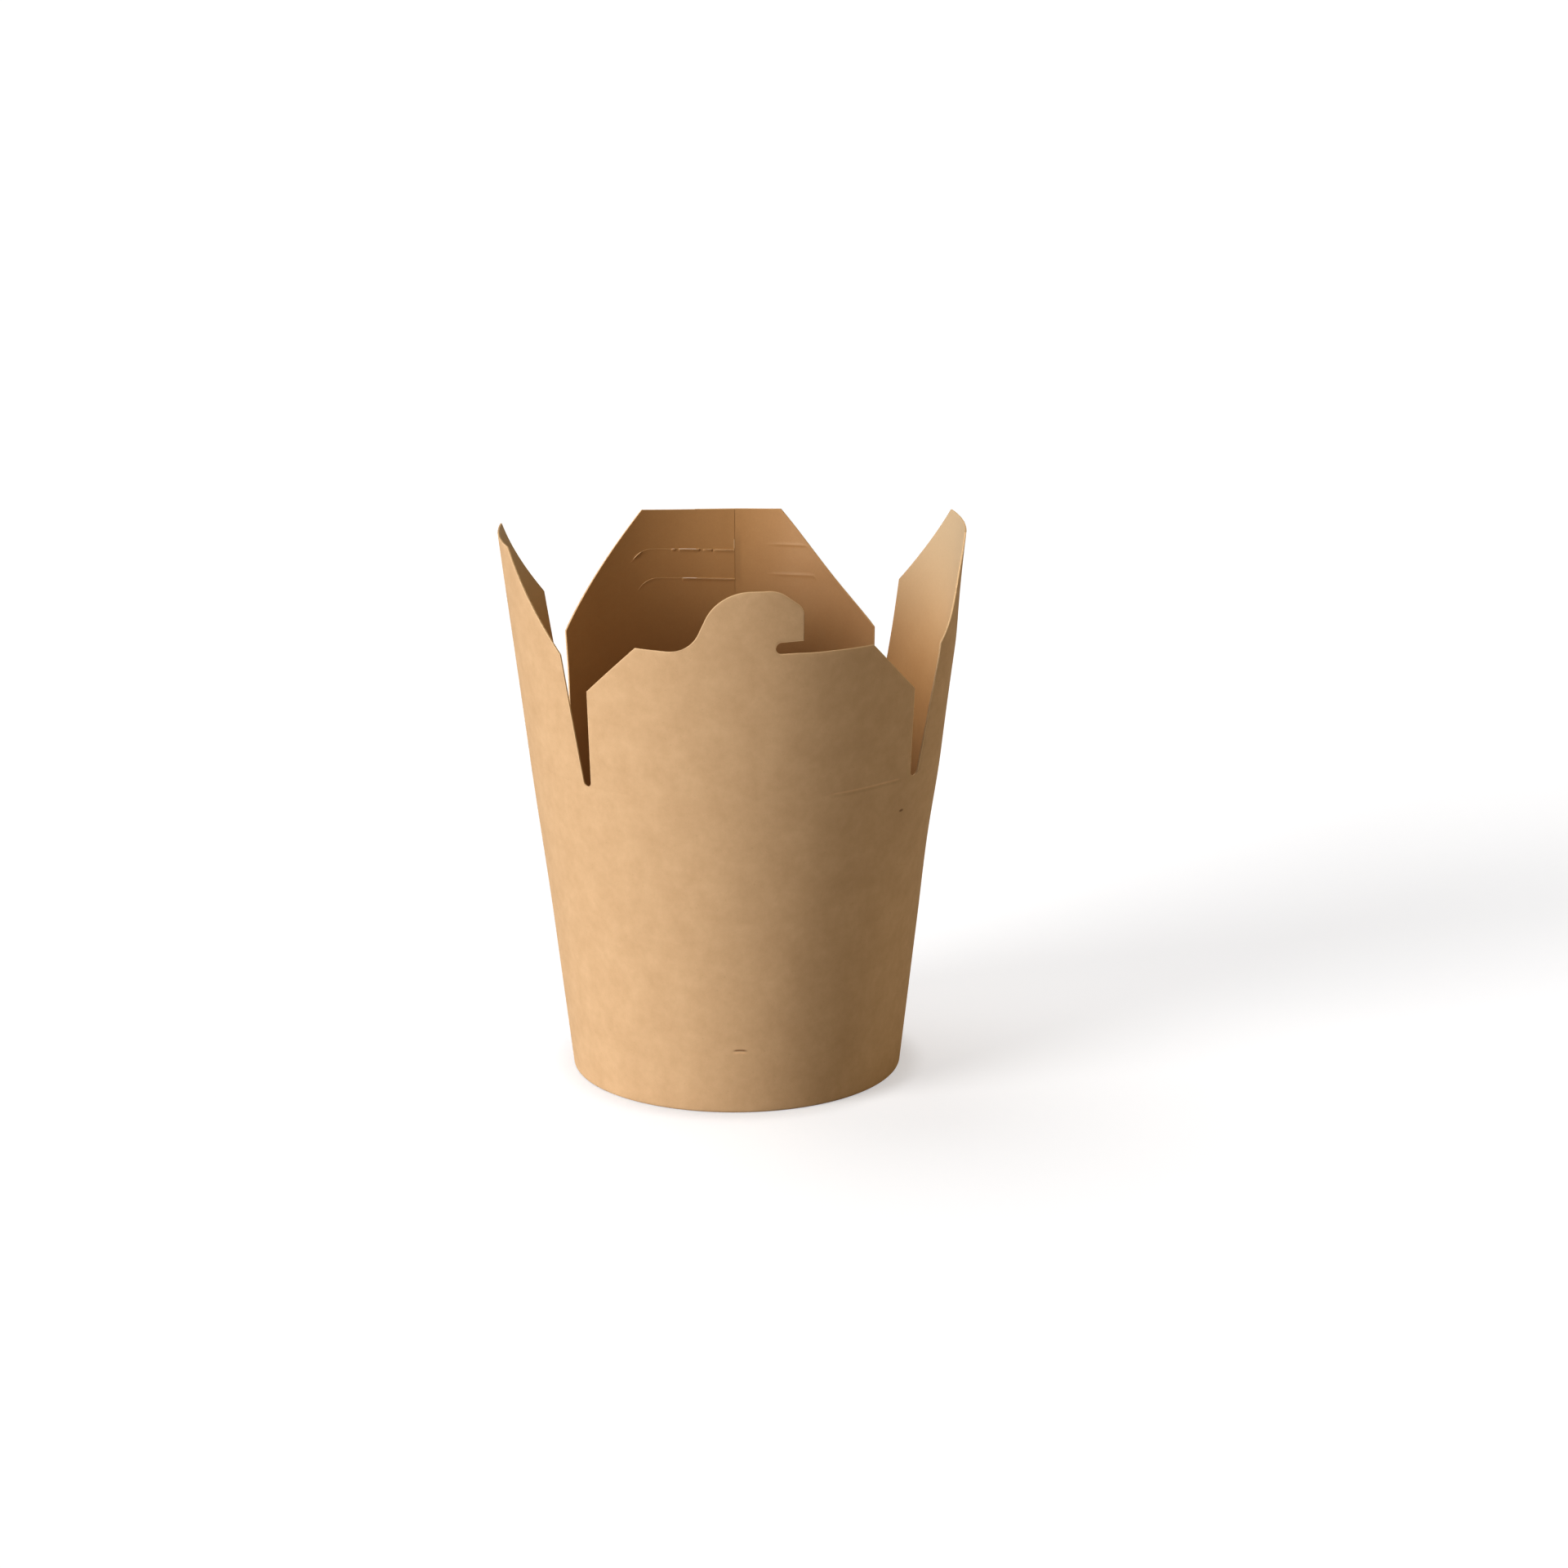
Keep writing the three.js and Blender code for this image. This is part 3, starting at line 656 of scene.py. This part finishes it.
def heights_up(tall, rows):
    """Heights for every column, from the fine rows of the slit's round end to the upper edge."""
    upper = SLIT_END_RADIUS + (tall[:, None] - SLIT_END_RADIUS) * np.linspace(0, 1, rows + 1)[1:]
    return np.concatenate([np.broadcast_to(FOOT_HEIGHTS, (len(tall), len(FOOT_HEIGHTS))), upper], 1)


def patch(x, y, out=0.0, inward=0.0, outer_turn=0.0, inner_turn=0.0):
    """A grid of sheet points: x, y, how far each face is raised, and turns of the azimuth that
    carry its place to the other end of the blank."""
    return np.stack(np.broadcast_arrays(x, y, out, inward, outer_turn, inner_turn), -1)


def grid_triangles(grid, first):
    """Two triangles for each cell of a grid, counterclockwise as seen from outside."""
    number = first + np.arange(grid.shape[0] * grid.shape[1]).reshape(grid.shape[:2])
    a, b, c, d = number[:-1, :-1], number[1:, :-1], number[1:, 1:], number[:-1, 1:]
    halves = [np.stack(corners, -1).reshape(-1, 3) for corners in ((a, b, c), (a, c, d))]
    return np.concatenate(halves)


def board_piece(name, centre, patches, coated):
    """Closed board over grids of the flat blank. Equal points are joined, the outer and the inner
    face are the sheet rolled onto the cone at two depths, and along every side that belongs to one
    triangle only runs a cut edge, slightly rounded outwards and, above the crease, worn back a
    little on the outer face. The inner face has the finish coated."""
    firsts = np.cumsum([0] + [len(grid) * grid.shape[1] for grid in patches])
    triangles = np.concatenate([grid_triangles(grid, first) for grid, first in zip(patches, firsts)])
    loose = np.concatenate([grid.reshape(-1, grid.shape[2]) for grid in patches])
    keys = np.round(loose[:, :2] / MM).astype(np.int64)
    _, chosen, joined = np.unique(keys, axis=0, return_index=True, return_inverse=True)
    sheet_points = loose[chosen]
    count = len(sheet_points)
    triangles = joined.reshape(-1)[triangles]
    a, b, c = triangles.T
    triangles = triangles[(a != b) & (b != c) & (c != a)]
    sides = triangles[:, [0, 1, 1, 2, 2, 0]].reshape(-1, 2)
    free = ~np.isin(sides[:, 0] * count + sides[:, 1], sides[:, 1] * count + sides[:, 0])
    rim, follow = sides[free].T
    run = sheet_points[follow, :2] - sheet_points[rim, :2]
    away = np.stack([run[:, 1], -run[:, 0]], -1)
    away /= np.linalg.norm(away, axis=1, keepdims=True)
    lean = np.zeros((count, 2))
    np.add.at(lean, rim, away)
    np.add.at(lean, follow, away)
    on_rim = np.unique(rim)
    lean = lean[on_rim] / np.linalg.norm(lean[on_rim], axis=1, keepdims=True)

    def rolled(rows, share, push):
        """The rows of the sheet at a share of the way through the board, pushed out sideways."""
        x, y = (rows[:, :2] + push).T
        reach = np.hypot(x, APEX_TO_CREASE + y)
        turn = np.arctan2(x, APEX_TO_CREASE + y) / np.sin(HALF_ANGLE)
        azimuth = centre + np.degrees(turn)
        z = CREASE_HEIGHT + (reach - APEX_TO_CREASE) * np.cos(HALF_ANGLE)
        out, inward, outer_turn, inner_turn = rows[:, 2:].T
        depth = share * (DEPTH_ACROSS + inward) - (1 - share) * out
        turned = azimuth + np.where(share < 1, outer_turn, inner_turn)
        return place(azimuth, z, depth), on_sheet(turned, reach)

    reach = np.hypot(sheet_points[on_rim, 0], APEX_TO_CREASE + sheet_points[on_rim, 1])
    worn = np.zeros((count, 2))
    grown = smooth(reach - APEX_TO_CREASE, *EDGE_WORN["grows"])
    worn[on_rim] = -lean * EDGE_WORN["by"] * grown[:, None]
    layers = [rolled(sheet_points, 0, worn), rolled(sheet_points, 1, 0)]
    layers += [rolled(sheet_points[on_rim], share, lean * bulge) for share, bulge in EDGE_ROUND]
    points, sheet = (np.concatenate(parts) for parts in zip(*layers))
    number = np.zeros(count, int)
    number[on_rim] = np.arange(len(on_rim))
    between = [2 * count + i * len(on_rim) + number for i in range(len(EDGE_ROUND))]
    levels = [np.arange(count), *between, count + np.arange(count)]
    strips = [
        np.stack([over[follow], over[rim], under[rim], under[follow]], -1)
        for over, under in zip(levels, levels[1:])
    ]
    groups = [(triangles, OUTSIDE), (triangles[:, ::-1] + count, COATED), (np.concatenate(strips), EDGE)]
    return make_piece(name, points, sheet, groups, [finishes[OUTSIDE], coated, finishes[EDGE]])


def hang(piece, body):
    """The flap, which grows out of the wall at the crease, gets its place baked into its mesh, and the
    solid part it stands for is hidden.
    """
    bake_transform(piece)
    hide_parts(body)


slope_sine, slope_cosine = np.sin(np.radians(HOOK["slope"])), np.cos(np.radians(HOOK["slope"]))
crown_y = HOOK["top"] - HOOK["crown_radius"]
both_radii = HOOK["crown_radius"] + HOOK["fillet_radius"]


def fillet_middle(top):
    """The fillet's middle, from a straight cut that touches both the fillet and the crown."""
    rise = crown_y + both_radii * slope_cosine - (top + HOOK["fillet_radius"])
    return HOOK["crown_x"] - both_radii * slope_sine - (rise * slope_cosine) / slope_sine


fillet_x = float(fillet_middle(plain_top(FRONT, fillet_middle(FRONT["top"]))))
fillet_y = float(plain_top(FRONT, fillet_x)) + HOOK["fillet_radius"]
cut_from = (fillet_x + HOOK["fillet_radius"] * slope_sine, fillet_y - HOOK["fillet_radius"] * slope_cosine)
cut_to = (
    HOOK["crown_x"] - HOOK["crown_radius"] * slope_sine,
    crown_y + HOOK["crown_radius"] * slope_cosine,
)
nose_sine, nose_cosine = np.sin(np.radians(HOOK["nose_slope"])), np.cos(np.radians(HOOK["nose_slope"]))
nose_middle_x = HOOK["tip_x"] - HOOK["nose_radius"]
nose_end_x = nose_middle_x + HOOK["nose_radius"] * nose_sine
nose_end_y = HOOK["top"] - (nose_end_x - HOOK["nose_x"]) * nose_sine / nose_cosine
nose_middle_y = nose_end_y - HOOK["nose_radius"] * nose_cosine
nose_from = HOOK["nose_x"] - HOOK["nose_bend"] * np.tan(np.radians(HOOK["nose_slope"] / 2))
nose_to = nose_from + HOOK["nose_bend"] * nose_sine
notch_middle = HOOK["lip"] - HOOK["notch"] / 2
notch_round = HOOK["root_x"] + HOOK["notch"] / 2


def circle_y(x, middle_x, radius):
    """The rise of a circle over its middle at x, and nothing beyond it."""
    return np.sqrt(np.maximum(0, radius**2 - (x - middle_x) ** 2))


def head_top(x):
    """The head's upper edge: hollow fillet, straight cut, crown, flat top, bend, slanted nose, round."""
    nose_y = HOOK["top"] - (x - HOOK["nose_x"]) * nose_sine / nose_cosine
    pieces = [
        (x < cut_from[0], fillet_y - circle_y(x, fillet_x, HOOK["fillet_radius"])),
        (x < cut_to[0], np.interp(x, *zip(cut_from, cut_to))),
        (x < HOOK["crown_x"], crown_y + circle_y(x, HOOK["crown_x"], HOOK["crown_radius"])),
        (x < nose_from, HOOK["top"] + 0 * x),
        (x < nose_to, HOOK["top"] - HOOK["nose_bend"] + circle_y(x, nose_from, HOOK["nose_bend"])),
        (x < nose_end_x, nose_y),
    ]
    last = nose_middle_y + circle_y(x, nose_middle_x, HOOK["nose_radius"])
    return np.select([where for where, _ in pieces], [y for _, y in pieces], last)


def notch_half(x):
    """Half the height of the notch at x: a half round at its closed end, then straight."""
    half = HOOK["notch"] / 2
    return np.where(x > notch_round, half, circle_y(np.minimum(x, notch_round), notch_round, half))


def front_upper_edge(x):
    """The flap's own upper edge: under the head it runs along the neck from the fillet to the
    notch, and then along the notch's floor, which eases into the top edge."""
    top = plain_top(FRONT, x)
    floor_end = HOOK["tip_x"] + HOOK["notch"]
    start = float(plain_top(FRONT, fillet_x))
    neck = np.interp(x, (fillet_x, HOOK["root_x"]), (start, notch_middle))
    floor = notch_middle - notch_half(x)
    floor = floor + (top - floor) * smooth(x, notch_round, floor_end)
    inside = (x > fillet_x) & (x < floor_end)
    return np.where(inside, np.where(x <= HOOK["root_x"], neck, floor), top)


def arc_places(middle, radius, start, end, count):
    """The x of points of an arc, divided by angle."""
    return middle + radius * np.sin(np.radians(np.linspace(start, end, count)))


head_places = np.unique(np.round(np.concatenate([
    arc_places(fillet_x, HOOK["fillet_radius"], 0, HOOK["slope"], 14),
    np.linspace(cut_from[0], cut_to[0], 4),
    arc_places(HOOK["crown_x"], HOOK["crown_radius"], -HOOK["slope"], 0, 16),
    np.linspace(HOOK["crown_x"], HOOK["root_x"], 7),
    arc_places(notch_round, HOOK["notch"] / 2, -90, 0, 9),
    arc_places(nose_from, HOOK["nose_bend"], 0, HOOK["nose_slope"], 7),
    np.linspace(nose_to, nose_end_x, 3),
    arc_places(nose_middle_x, HOOK["nose_radius"], HOOK["nose_slope"], 90, 9),
]), 4))


def front_flap():
    """The flap's columns up to its own edge, and the head's columns, which stand on the neck as far
    as the notch and then on the lip over the notch."""
    marks = [fillet_x, *head_places, HOOK["tip_x"] + HOOK["notch"]]
    top_x = places_across(FRONT, FRONT_GRID["spacing"], marks)
    tall = front_upper_edge(top_x) - apex_arc(top_x, 0)
    heights = heights_up(tall, FRONT_GRID["rows"])
    share = share_at(FRONT, top_x, tall)[:, None]
    x = across_flap(FRONT, share, heights)
    body = patch(x, apex_arc(x, 0) + heights)
    foot = np.where(
        head_places <= HOOK["root_x"],
        front_upper_edge(head_places),
        notch_middle + notch_half(head_places),
    )
    foot[0] = head_top(head_places[0])
    body_top = body[np.searchsorted(top_x, head_places[0] - 1e-6), -1]
    body_top[:2] = (head_places[0], foot[0])
    rise = np.linspace(0, 1, FRONT_GRID["head_rows"] + 1)
    y = foot[:, None] + (np.maximum(head_top(head_places), foot) - foot)[:, None] * rise
    return board_piece("front_flap_board", 0, [body, patch(head_places[:, None], y)], finishes[COATED])


front = front_flap()
hang(front, "front_flap")


# The back flap
# It carries the glued lap on from the wall, and the two tuck slits that the hooked tab goes into.
# Only the inner ply shows them as open cuts with a raised lip; the outer ply's are pressed lines.
BACK = {
    "slit": SLIT_AZIMUTH,
    "shoulder": (49.5, 20.2),
    "corner_x": 20.5,
    "top": 52.3,
    "lean": -0.02,
    "arch": -1,
}
TUCK = {"seam_x": -6.2, "bend_radius": 8, "bend_turn": 60, "lean": 0.056, "level_at": 4, "gap": 0.08}
TUCK_SLITS = [
    {
        "height": 32.6,
        "bend_x": 15.7,
        "open": [(-7, 8.6, 1), (17.5, 20.5, 0.2)],
        "ridge": 33.5,
        "ridge_ends": (-31, -18),
    },
    {
        "height": 41,
        "bend_x": 17.4,
        "open": [(-7, -0.8, 1), (-0.2, 2.3, 0.8), (3.5, 9.5, 1), (10.7, 11.7, 0.9), (21.2, 23.2, 0.6)],
        "ridge": 42.1,
        "ridge_ends": (-28.4, -18),
    },
]
OPEN_EASE = 0.25
LIP = {"lift": 0.45, "reach": 1.2, "sink": 0.06, "shut": 0.15, "at_seam": 0.1, "at_end": 1}
RIDGE = {"height": 0.14, "width": 0.4, "far_ease": 1, "near_ease": 3}
BACK_GRID = {"spacing": 1.1, "dash_points": 5, "bend_points": 9, "rows": 30, "rounds": 12}
STEP = {"half": 2e-4, "clear": 4e-3}
# A painted highlight: a pale line just under each open dash of a slit, along the raised lip.
SLIT_HIGHLIGHT = {"under": 0.1, "width": (0.34, 0.1), "pale": 0.7, "colour": (0.78, 0.53, 0.28)}


def slit_line(slit, x):
    """The slit's y at x: a straight run that leans a little, and beyond it the bend down by
    R (1 - cos t), at x = bend + R sin t."""
    turn = np.arcsin(np.clip((x - slit["bend_x"]) / TUCK["bend_radius"], 0, 1))
    leaning = slit["height"] + TUCK["lean"] * (x - TUCK["level_at"])
    return leaning - TUCK["bend_radius"] * (1 - np.cos(turn))


def lip_strength(slit, x):
    """How far the lip stands open along its slit, from 0 to 1: fully on its open dashes, and
    hardly on the uncut nicks between them."""
    opened = 0
    for start, end, share in slit["open"]:
        into = smooth(x, start - OPEN_EASE, start + OPEN_EASE)
        opened = opened + share * into * (1 - smooth(x, end - OPEN_EASE, end + OPEN_EASE))
    return LIP["shut"] + (1 - LIP["shut"]) * opened


def painted_slit_highlights(inside, colour):
    """Just under each open dash of a slit a pale line is painted, a painted highlight of the raised lip's
    cut edge.
    On the inner face x is measured past the back's middle line, and y falls by x^2 / 2R below the reach."""
    x = inside.past(-180)
    y = inside.height - x * x / (2 * (APEX_TO_CREASE + TUCK_SLITS[0]["height"]))
    for slit in TUCK_SLITS:
        beyond = x.math("MAXIMUM", x - slit["bend_x"], 0)
        line = (x - TUCK["level_at"]) * TUCK["lean"] + slit["height"]
        under = line - beyond * beyond / (2 * TUCK["bend_radius"]) - y
        near = abs(under - SLIT_HIGHLIGHT["under"]).ramp(*SLIT_HIGHLIGHT["width"])
        for start, end, share in slit["open"]:
            begun = x.ramp(start - OPEN_EASE, start + OPEN_EASE)
            into = begun * x.ramp(end + OPEN_EASE, end - OPEN_EASE)
            colour = inside.blended(near * into * (share * SLIT_HIGHLIGHT["pale"]), colour, SLIT_HIGHLIGHT["colour"])
    return colour


def back_flap():
    """Three bands of rows, parted by the lines of the two slits and, beyond the seam, by the pressed
    lines of the other ply. Past its ends a line goes on at the same share of the flap's height.
    The band under a slit is raised along it, and the band over it sinks a little."""
    edges = [slit_x(LAP[edge] - 180) / slit_x(BACK["slit"]) for edge in ("inner_edge", "outer_edge")]
    bend_run = TUCK["bend_radius"] * np.sin(np.radians(TUCK["bend_turn"]))
    eased = OPEN_EASE * np.linspace(-1, 1, BACK_GRID["dash_points"])
    marks = [slit["ridge_ends"][0] for slit in TUCK_SLITS]
    for slit in TUCK_SLITS:
        fan = (APEX_TO_CREASE + BACK["top"]) / (APEX_TO_CREASE + slit["height"])
        bend = (slit["bend_x"], TUCK["bend_radius"], 0, TUCK["bend_turn"])
        marks.extend(arc_places(*bend, BACK_GRID["bend_points"]))
        for start, end, _ in slit["open"]:
            marks.extend(fan * (start + eased))
            marks.extend(fan * (end + eased))
    top_x = places_across(BACK, BACK_GRID["spacing"], marks)
    tall = plain_top(BACK, top_x) - apex_arc(top_x, 0)
    share = share_at(BACK, top_x, tall)
    steps = [edge + side * STEP["half"] for edge in edges for side in (-1, 1)]
    near = np.min(np.abs(share[:, None] - np.array(edges)), 1) < STEP["clear"]
    share = np.unique(np.concatenate([share[~near], steps]))
    at_top = np.interp(share, share_at(BACK, top_x, tall), top_x)
    for _ in range(BACK_GRID["rounds"]):
        tall = plain_top(BACK, at_top) - apex_arc(at_top, 0)
        at_top = across_flap(BACK, share, tall)

    lines = []
    for slit in TUCK_SLITS:
        end = slit["bend_x"] + bend_run
        x = across_flap(BACK, share, slit["height"])
        y = np.where(share < edges[0], slit["ridge"], slit_line(slit, x))
        height = y - apex_arc(x, 0)
        known = (x >= slit["ridge_ends"][0]) & (x <= end)
        part = np.interp(share, share[known], (height / tall)[known])
        lines.append((part * tall, x, end, slit))

    limits = [np.full(len(share), SLIT_END_RADIUS), lines[0][0], lines[1][0], tall]
    grids = []
    ease = (1 - np.cos(np.linspace(0, np.pi, BACK_GRID["rows"] + 1))) / 2
    bands = [(np.broadcast_to(FOOT_HEIGHTS, (len(share), len(FOOT_HEIGHTS))), None, None)]
    for k in range(3):
        rows = limits[k][:, None] + (limits[k + 1] - limits[k])[:, None] * ease
        bands.append((rows, lines[k - 1] if k > 0 else None, lines[k] if k < 2 else None))
    for rows, under, over in bands:
        lift = np.zeros(rows.shape)
        shift = np.zeros(rows.shape)
        for line, side in ((under, 1), (over, -1)):
            if line is None:
                continue
            at, x, end, slit = line
            away = np.abs(rows - at[:, None])
            seam = smooth(x, TUCK["seam_x"] - LIP["at_seam"], TUCK["seam_x"] + LIP["at_seam"])
            opened = seam * (1 - smooth(x, end - LIP["at_end"], end)) * lip_strength(slit, x)
            opened = opened[:, None]
            fallen = np.clip(1 - away / LIP["reach"], 0, 1) ** 2
            lift += np.where(side < 0, LIP["lift"], -LIP["sink"]) * fallen * opened
            shift += side * TUCK["gap"] / 2 * (away < 1e-9) * opened
            far, near_seam = slit["ridge_ends"]
            ridge = smooth(x, far - RIDGE["far_ease"], far + RIDGE["far_ease"])
            ridge *= 1 - smooth(x, near_seam - RIDGE["near_ease"], near_seam + RIDGE["near_ease"])
            lift += RIDGE["height"] * np.exp(-((away / RIDGE["width"]) ** 2)) * ridge[:, None]
        x = across_flap(BACK, share[:, None], rows)
        y = apex_arc(x, 0) + rows + shift
        azimuth = 180 + np.degrees(np.arctan2(x, APEX_TO_CREASE + y) / np.sin(HALF_ANGLE))
        in_outer, in_inner = share[:, None] <= edges[1], share[:, None] <= edges[0]
        out = lap_rise(azimuth, "outer") * in_outer - lift * ~in_outer
        inward = lift - lap_rise(azimuth, "inner")
        grids.append(patch(x, y, out, inward, -360 * ~in_outer, -360 * ~in_inner))
    return board_piece("back_flap_board", 180, grids, kraft_inside("kraft_inside_slits", painted_slit_highlights))


back = back_flap()
hang(back, "back_flap")


# The side flaps
# Two plain flaps, cut to a tall point with a blunt tip, that fold in under the front and the back.
SIDE = {
    "slit": 90 - SLIT_AZIMUTH,
    "shoulder": (36.6, 35.8),
    "corner_x": 13.4,
    "top": 62.2,
    "lean": 0,
    "arch": 0,
}
SIDE_GRID = {"spacing": 1.3, "rows": 36}
# Paler colour towards the side flaps' points: painted sheen.
PAINTED_SHEEN_COLOUR = (0.545, 0.41, 0.262)
PAINTED_SHEEN_HEIGHTS = (6, 60)


def painted_sheen_towards_point(inside, colour):
    """Towards the flap's point the film is painted paler: a painted sheen of the satin film at a grazing
    view.
    """
    return inside.blended(inside.height.ramp(*PAINTED_SHEEN_HEIGHTS), colour, PAINTED_SHEEN_COLOUR)


side_inside = kraft_inside("kraft_inside_sides", painted_sheen_towards_point)


def side_flap(name, centre):
    """The flap's columns from the crease up to its plain upper edge."""
    top_x = places_across(SIDE, SIDE_GRID["spacing"], [])
    tall = plain_top(SIDE, top_x) - apex_arc(top_x, 0)
    heights = heights_up(tall, SIDE_GRID["rows"])
    x = across_flap(SIDE, share_at(SIDE, top_x, tall)[:, None], heights)
    return board_piece(name, centre, [patch(x, apex_arc(x, 0) + heights)], side_inside)


for side, centre in (("left", -90), ("right", 90)):
    hang(side_flap(side + "_flap_board", centre), side + "_flap")


# The table and the light
# A plain white sheet, which glows to the camera only, and less near the foot, where that dimming is a
# painted contact shadow. A low soft key comes from the front left, a high light from behind left, and
# weaker ones from the right and the front. The surround is seen white and gives no light. The camera
# stands where the photograph's did.
TABLE_HALF = 12
# Near the foot the glow is dimmed to this share: a painted contact shadow.
TABLE = {"soaks": (0.5, 0.5, 0.5), "glow": (0.6, 0.61, 0.64), "painted_foot_shadow": 0.8, "foot": (46, 55)}
LAMPS = {
    "key": {"azimuth": -64, "elevation": 16, "angle": 30, "strength": 3.8, "colour": (1, 1, 1)},
    "back": {"azimuth": -140, "elevation": 58, "angle": 50, "strength": 1.2, "colour": (1, 1, 1)},
    "right": {"azimuth": 94, "elevation": 30, "angle": 50, "strength": 1.05, "colour": (1, 0.85, 0.58)},
    "front": {"azimuth": 14, "elevation": 35, "angle": 50, "strength": 0.36, "colour": (1, 0.86, 0.64)},
}
SURROUND_SEEN = 1.1
CONTRAST = 1.2
CAMERA = {
    "distance": 1505.5,
    "height": 528.8,
    "pitch": 16.566,
    "yaw": 0.519,
    "roll": -0.211,
    "turn": 6.049,
    "lens": 129.01,
}

table_mesh = bpy.data.meshes.new("table")
corners = [(-1, -1, 0), (1, -1, 0), (1, 1, 0), (-1, 1, 0)]
table_mesh.from_pydata([Vector(corner) * TABLE_HALF for corner in corners], [], [(0, 1, 2, 3)])
table = bpy.data.objects.new("table", table_mesh)
bpy.context.scene.collection.objects.link(table)
constants = {"Roughness": 0.9, "Specular IOR Level": 0.1, "Emission Strength": 1}
sheet = Finish("white_sheet", {**constants, "Base Color": (*TABLE["soaks"], 1)})
own_place = sheet.node("TexCoord", {}, {}, 3)
from_axis = sheet.node("VectorMath", {"operation": "LENGTH"}, {0: own_place}, 1)
# Painted contact shadow: the glow is dimmed within these radii of the axis.
clear = (from_axis / MM).ramp(*TABLE["foot"])
glow = sheet.node("LightPath") * (TABLE["painted_foot_shadow"] + (1 - TABLE["painted_foot_shadow"]) * clear)
sheet.feed("Emission Color", sheet.blended(glow, (0, 0, 0), TABLE["glow"]))
table_mesh.materials.append(sheet.material)

for name, lamp in LAMPS.items():
    light = bpy.data.lights.new(name, "SUN")
    light.energy = lamp["strength"]
    light.color = lamp["colour"]
    light.angle = np.radians(lamp["angle"])
    turn, rise = np.radians(lamp["azimuth"]), np.radians(lamp["elevation"])
    towards = Vector((np.sin(turn) * np.cos(rise), -np.cos(turn) * np.cos(rise), np.sin(rise)))
    holder = bpy.data.objects.new(name, light)
    holder.rotation_euler = towards.to_track_quat("Z", "Y").to_euler()
    bpy.context.scene.collection.objects.link(holder)

world = bpy.data.worlds.new("white_surround")
world.use_nodes = True
bpy.context.scene.world = world
surround = Shading(world.node_tree)
background = world.node_tree.nodes["Background"]
surround.plug(background.inputs["Color"], (1, 1, 1, 1))
surround.plug(background.inputs["Strength"], surround.node("LightPath") * SURROUND_SEEN)
bpy.context.scene.view_settings.view_transform = "Standard"
bpy.context.scene.view_settings.gamma = 1 / CONTRAST

lens = bpy.data.cameras.new("camera")
lens.lens = CAMERA["lens"]
lens.sensor_width = 36
camera = bpy.data.objects.new("camera", lens)
camera.matrix_world = (
    Matrix.Rotation(-np.radians(CAMERA["turn"]), 4, "Z")
    @ Matrix.Translation((0, -CAMERA["distance"] * MM, CAMERA["height"] * MM))
    @ Matrix.Rotation(-np.radians(CAMERA["yaw"]), 4, "Z")
    @ Matrix.Rotation(np.radians(90 - CAMERA["pitch"]), 4, "X")
    @ Matrix.Rotation(np.radians(CAMERA["roll"]), 4, "Z")
)
bpy.context.scene.collection.objects.link(camera)
bpy.context.scene.camera = camera
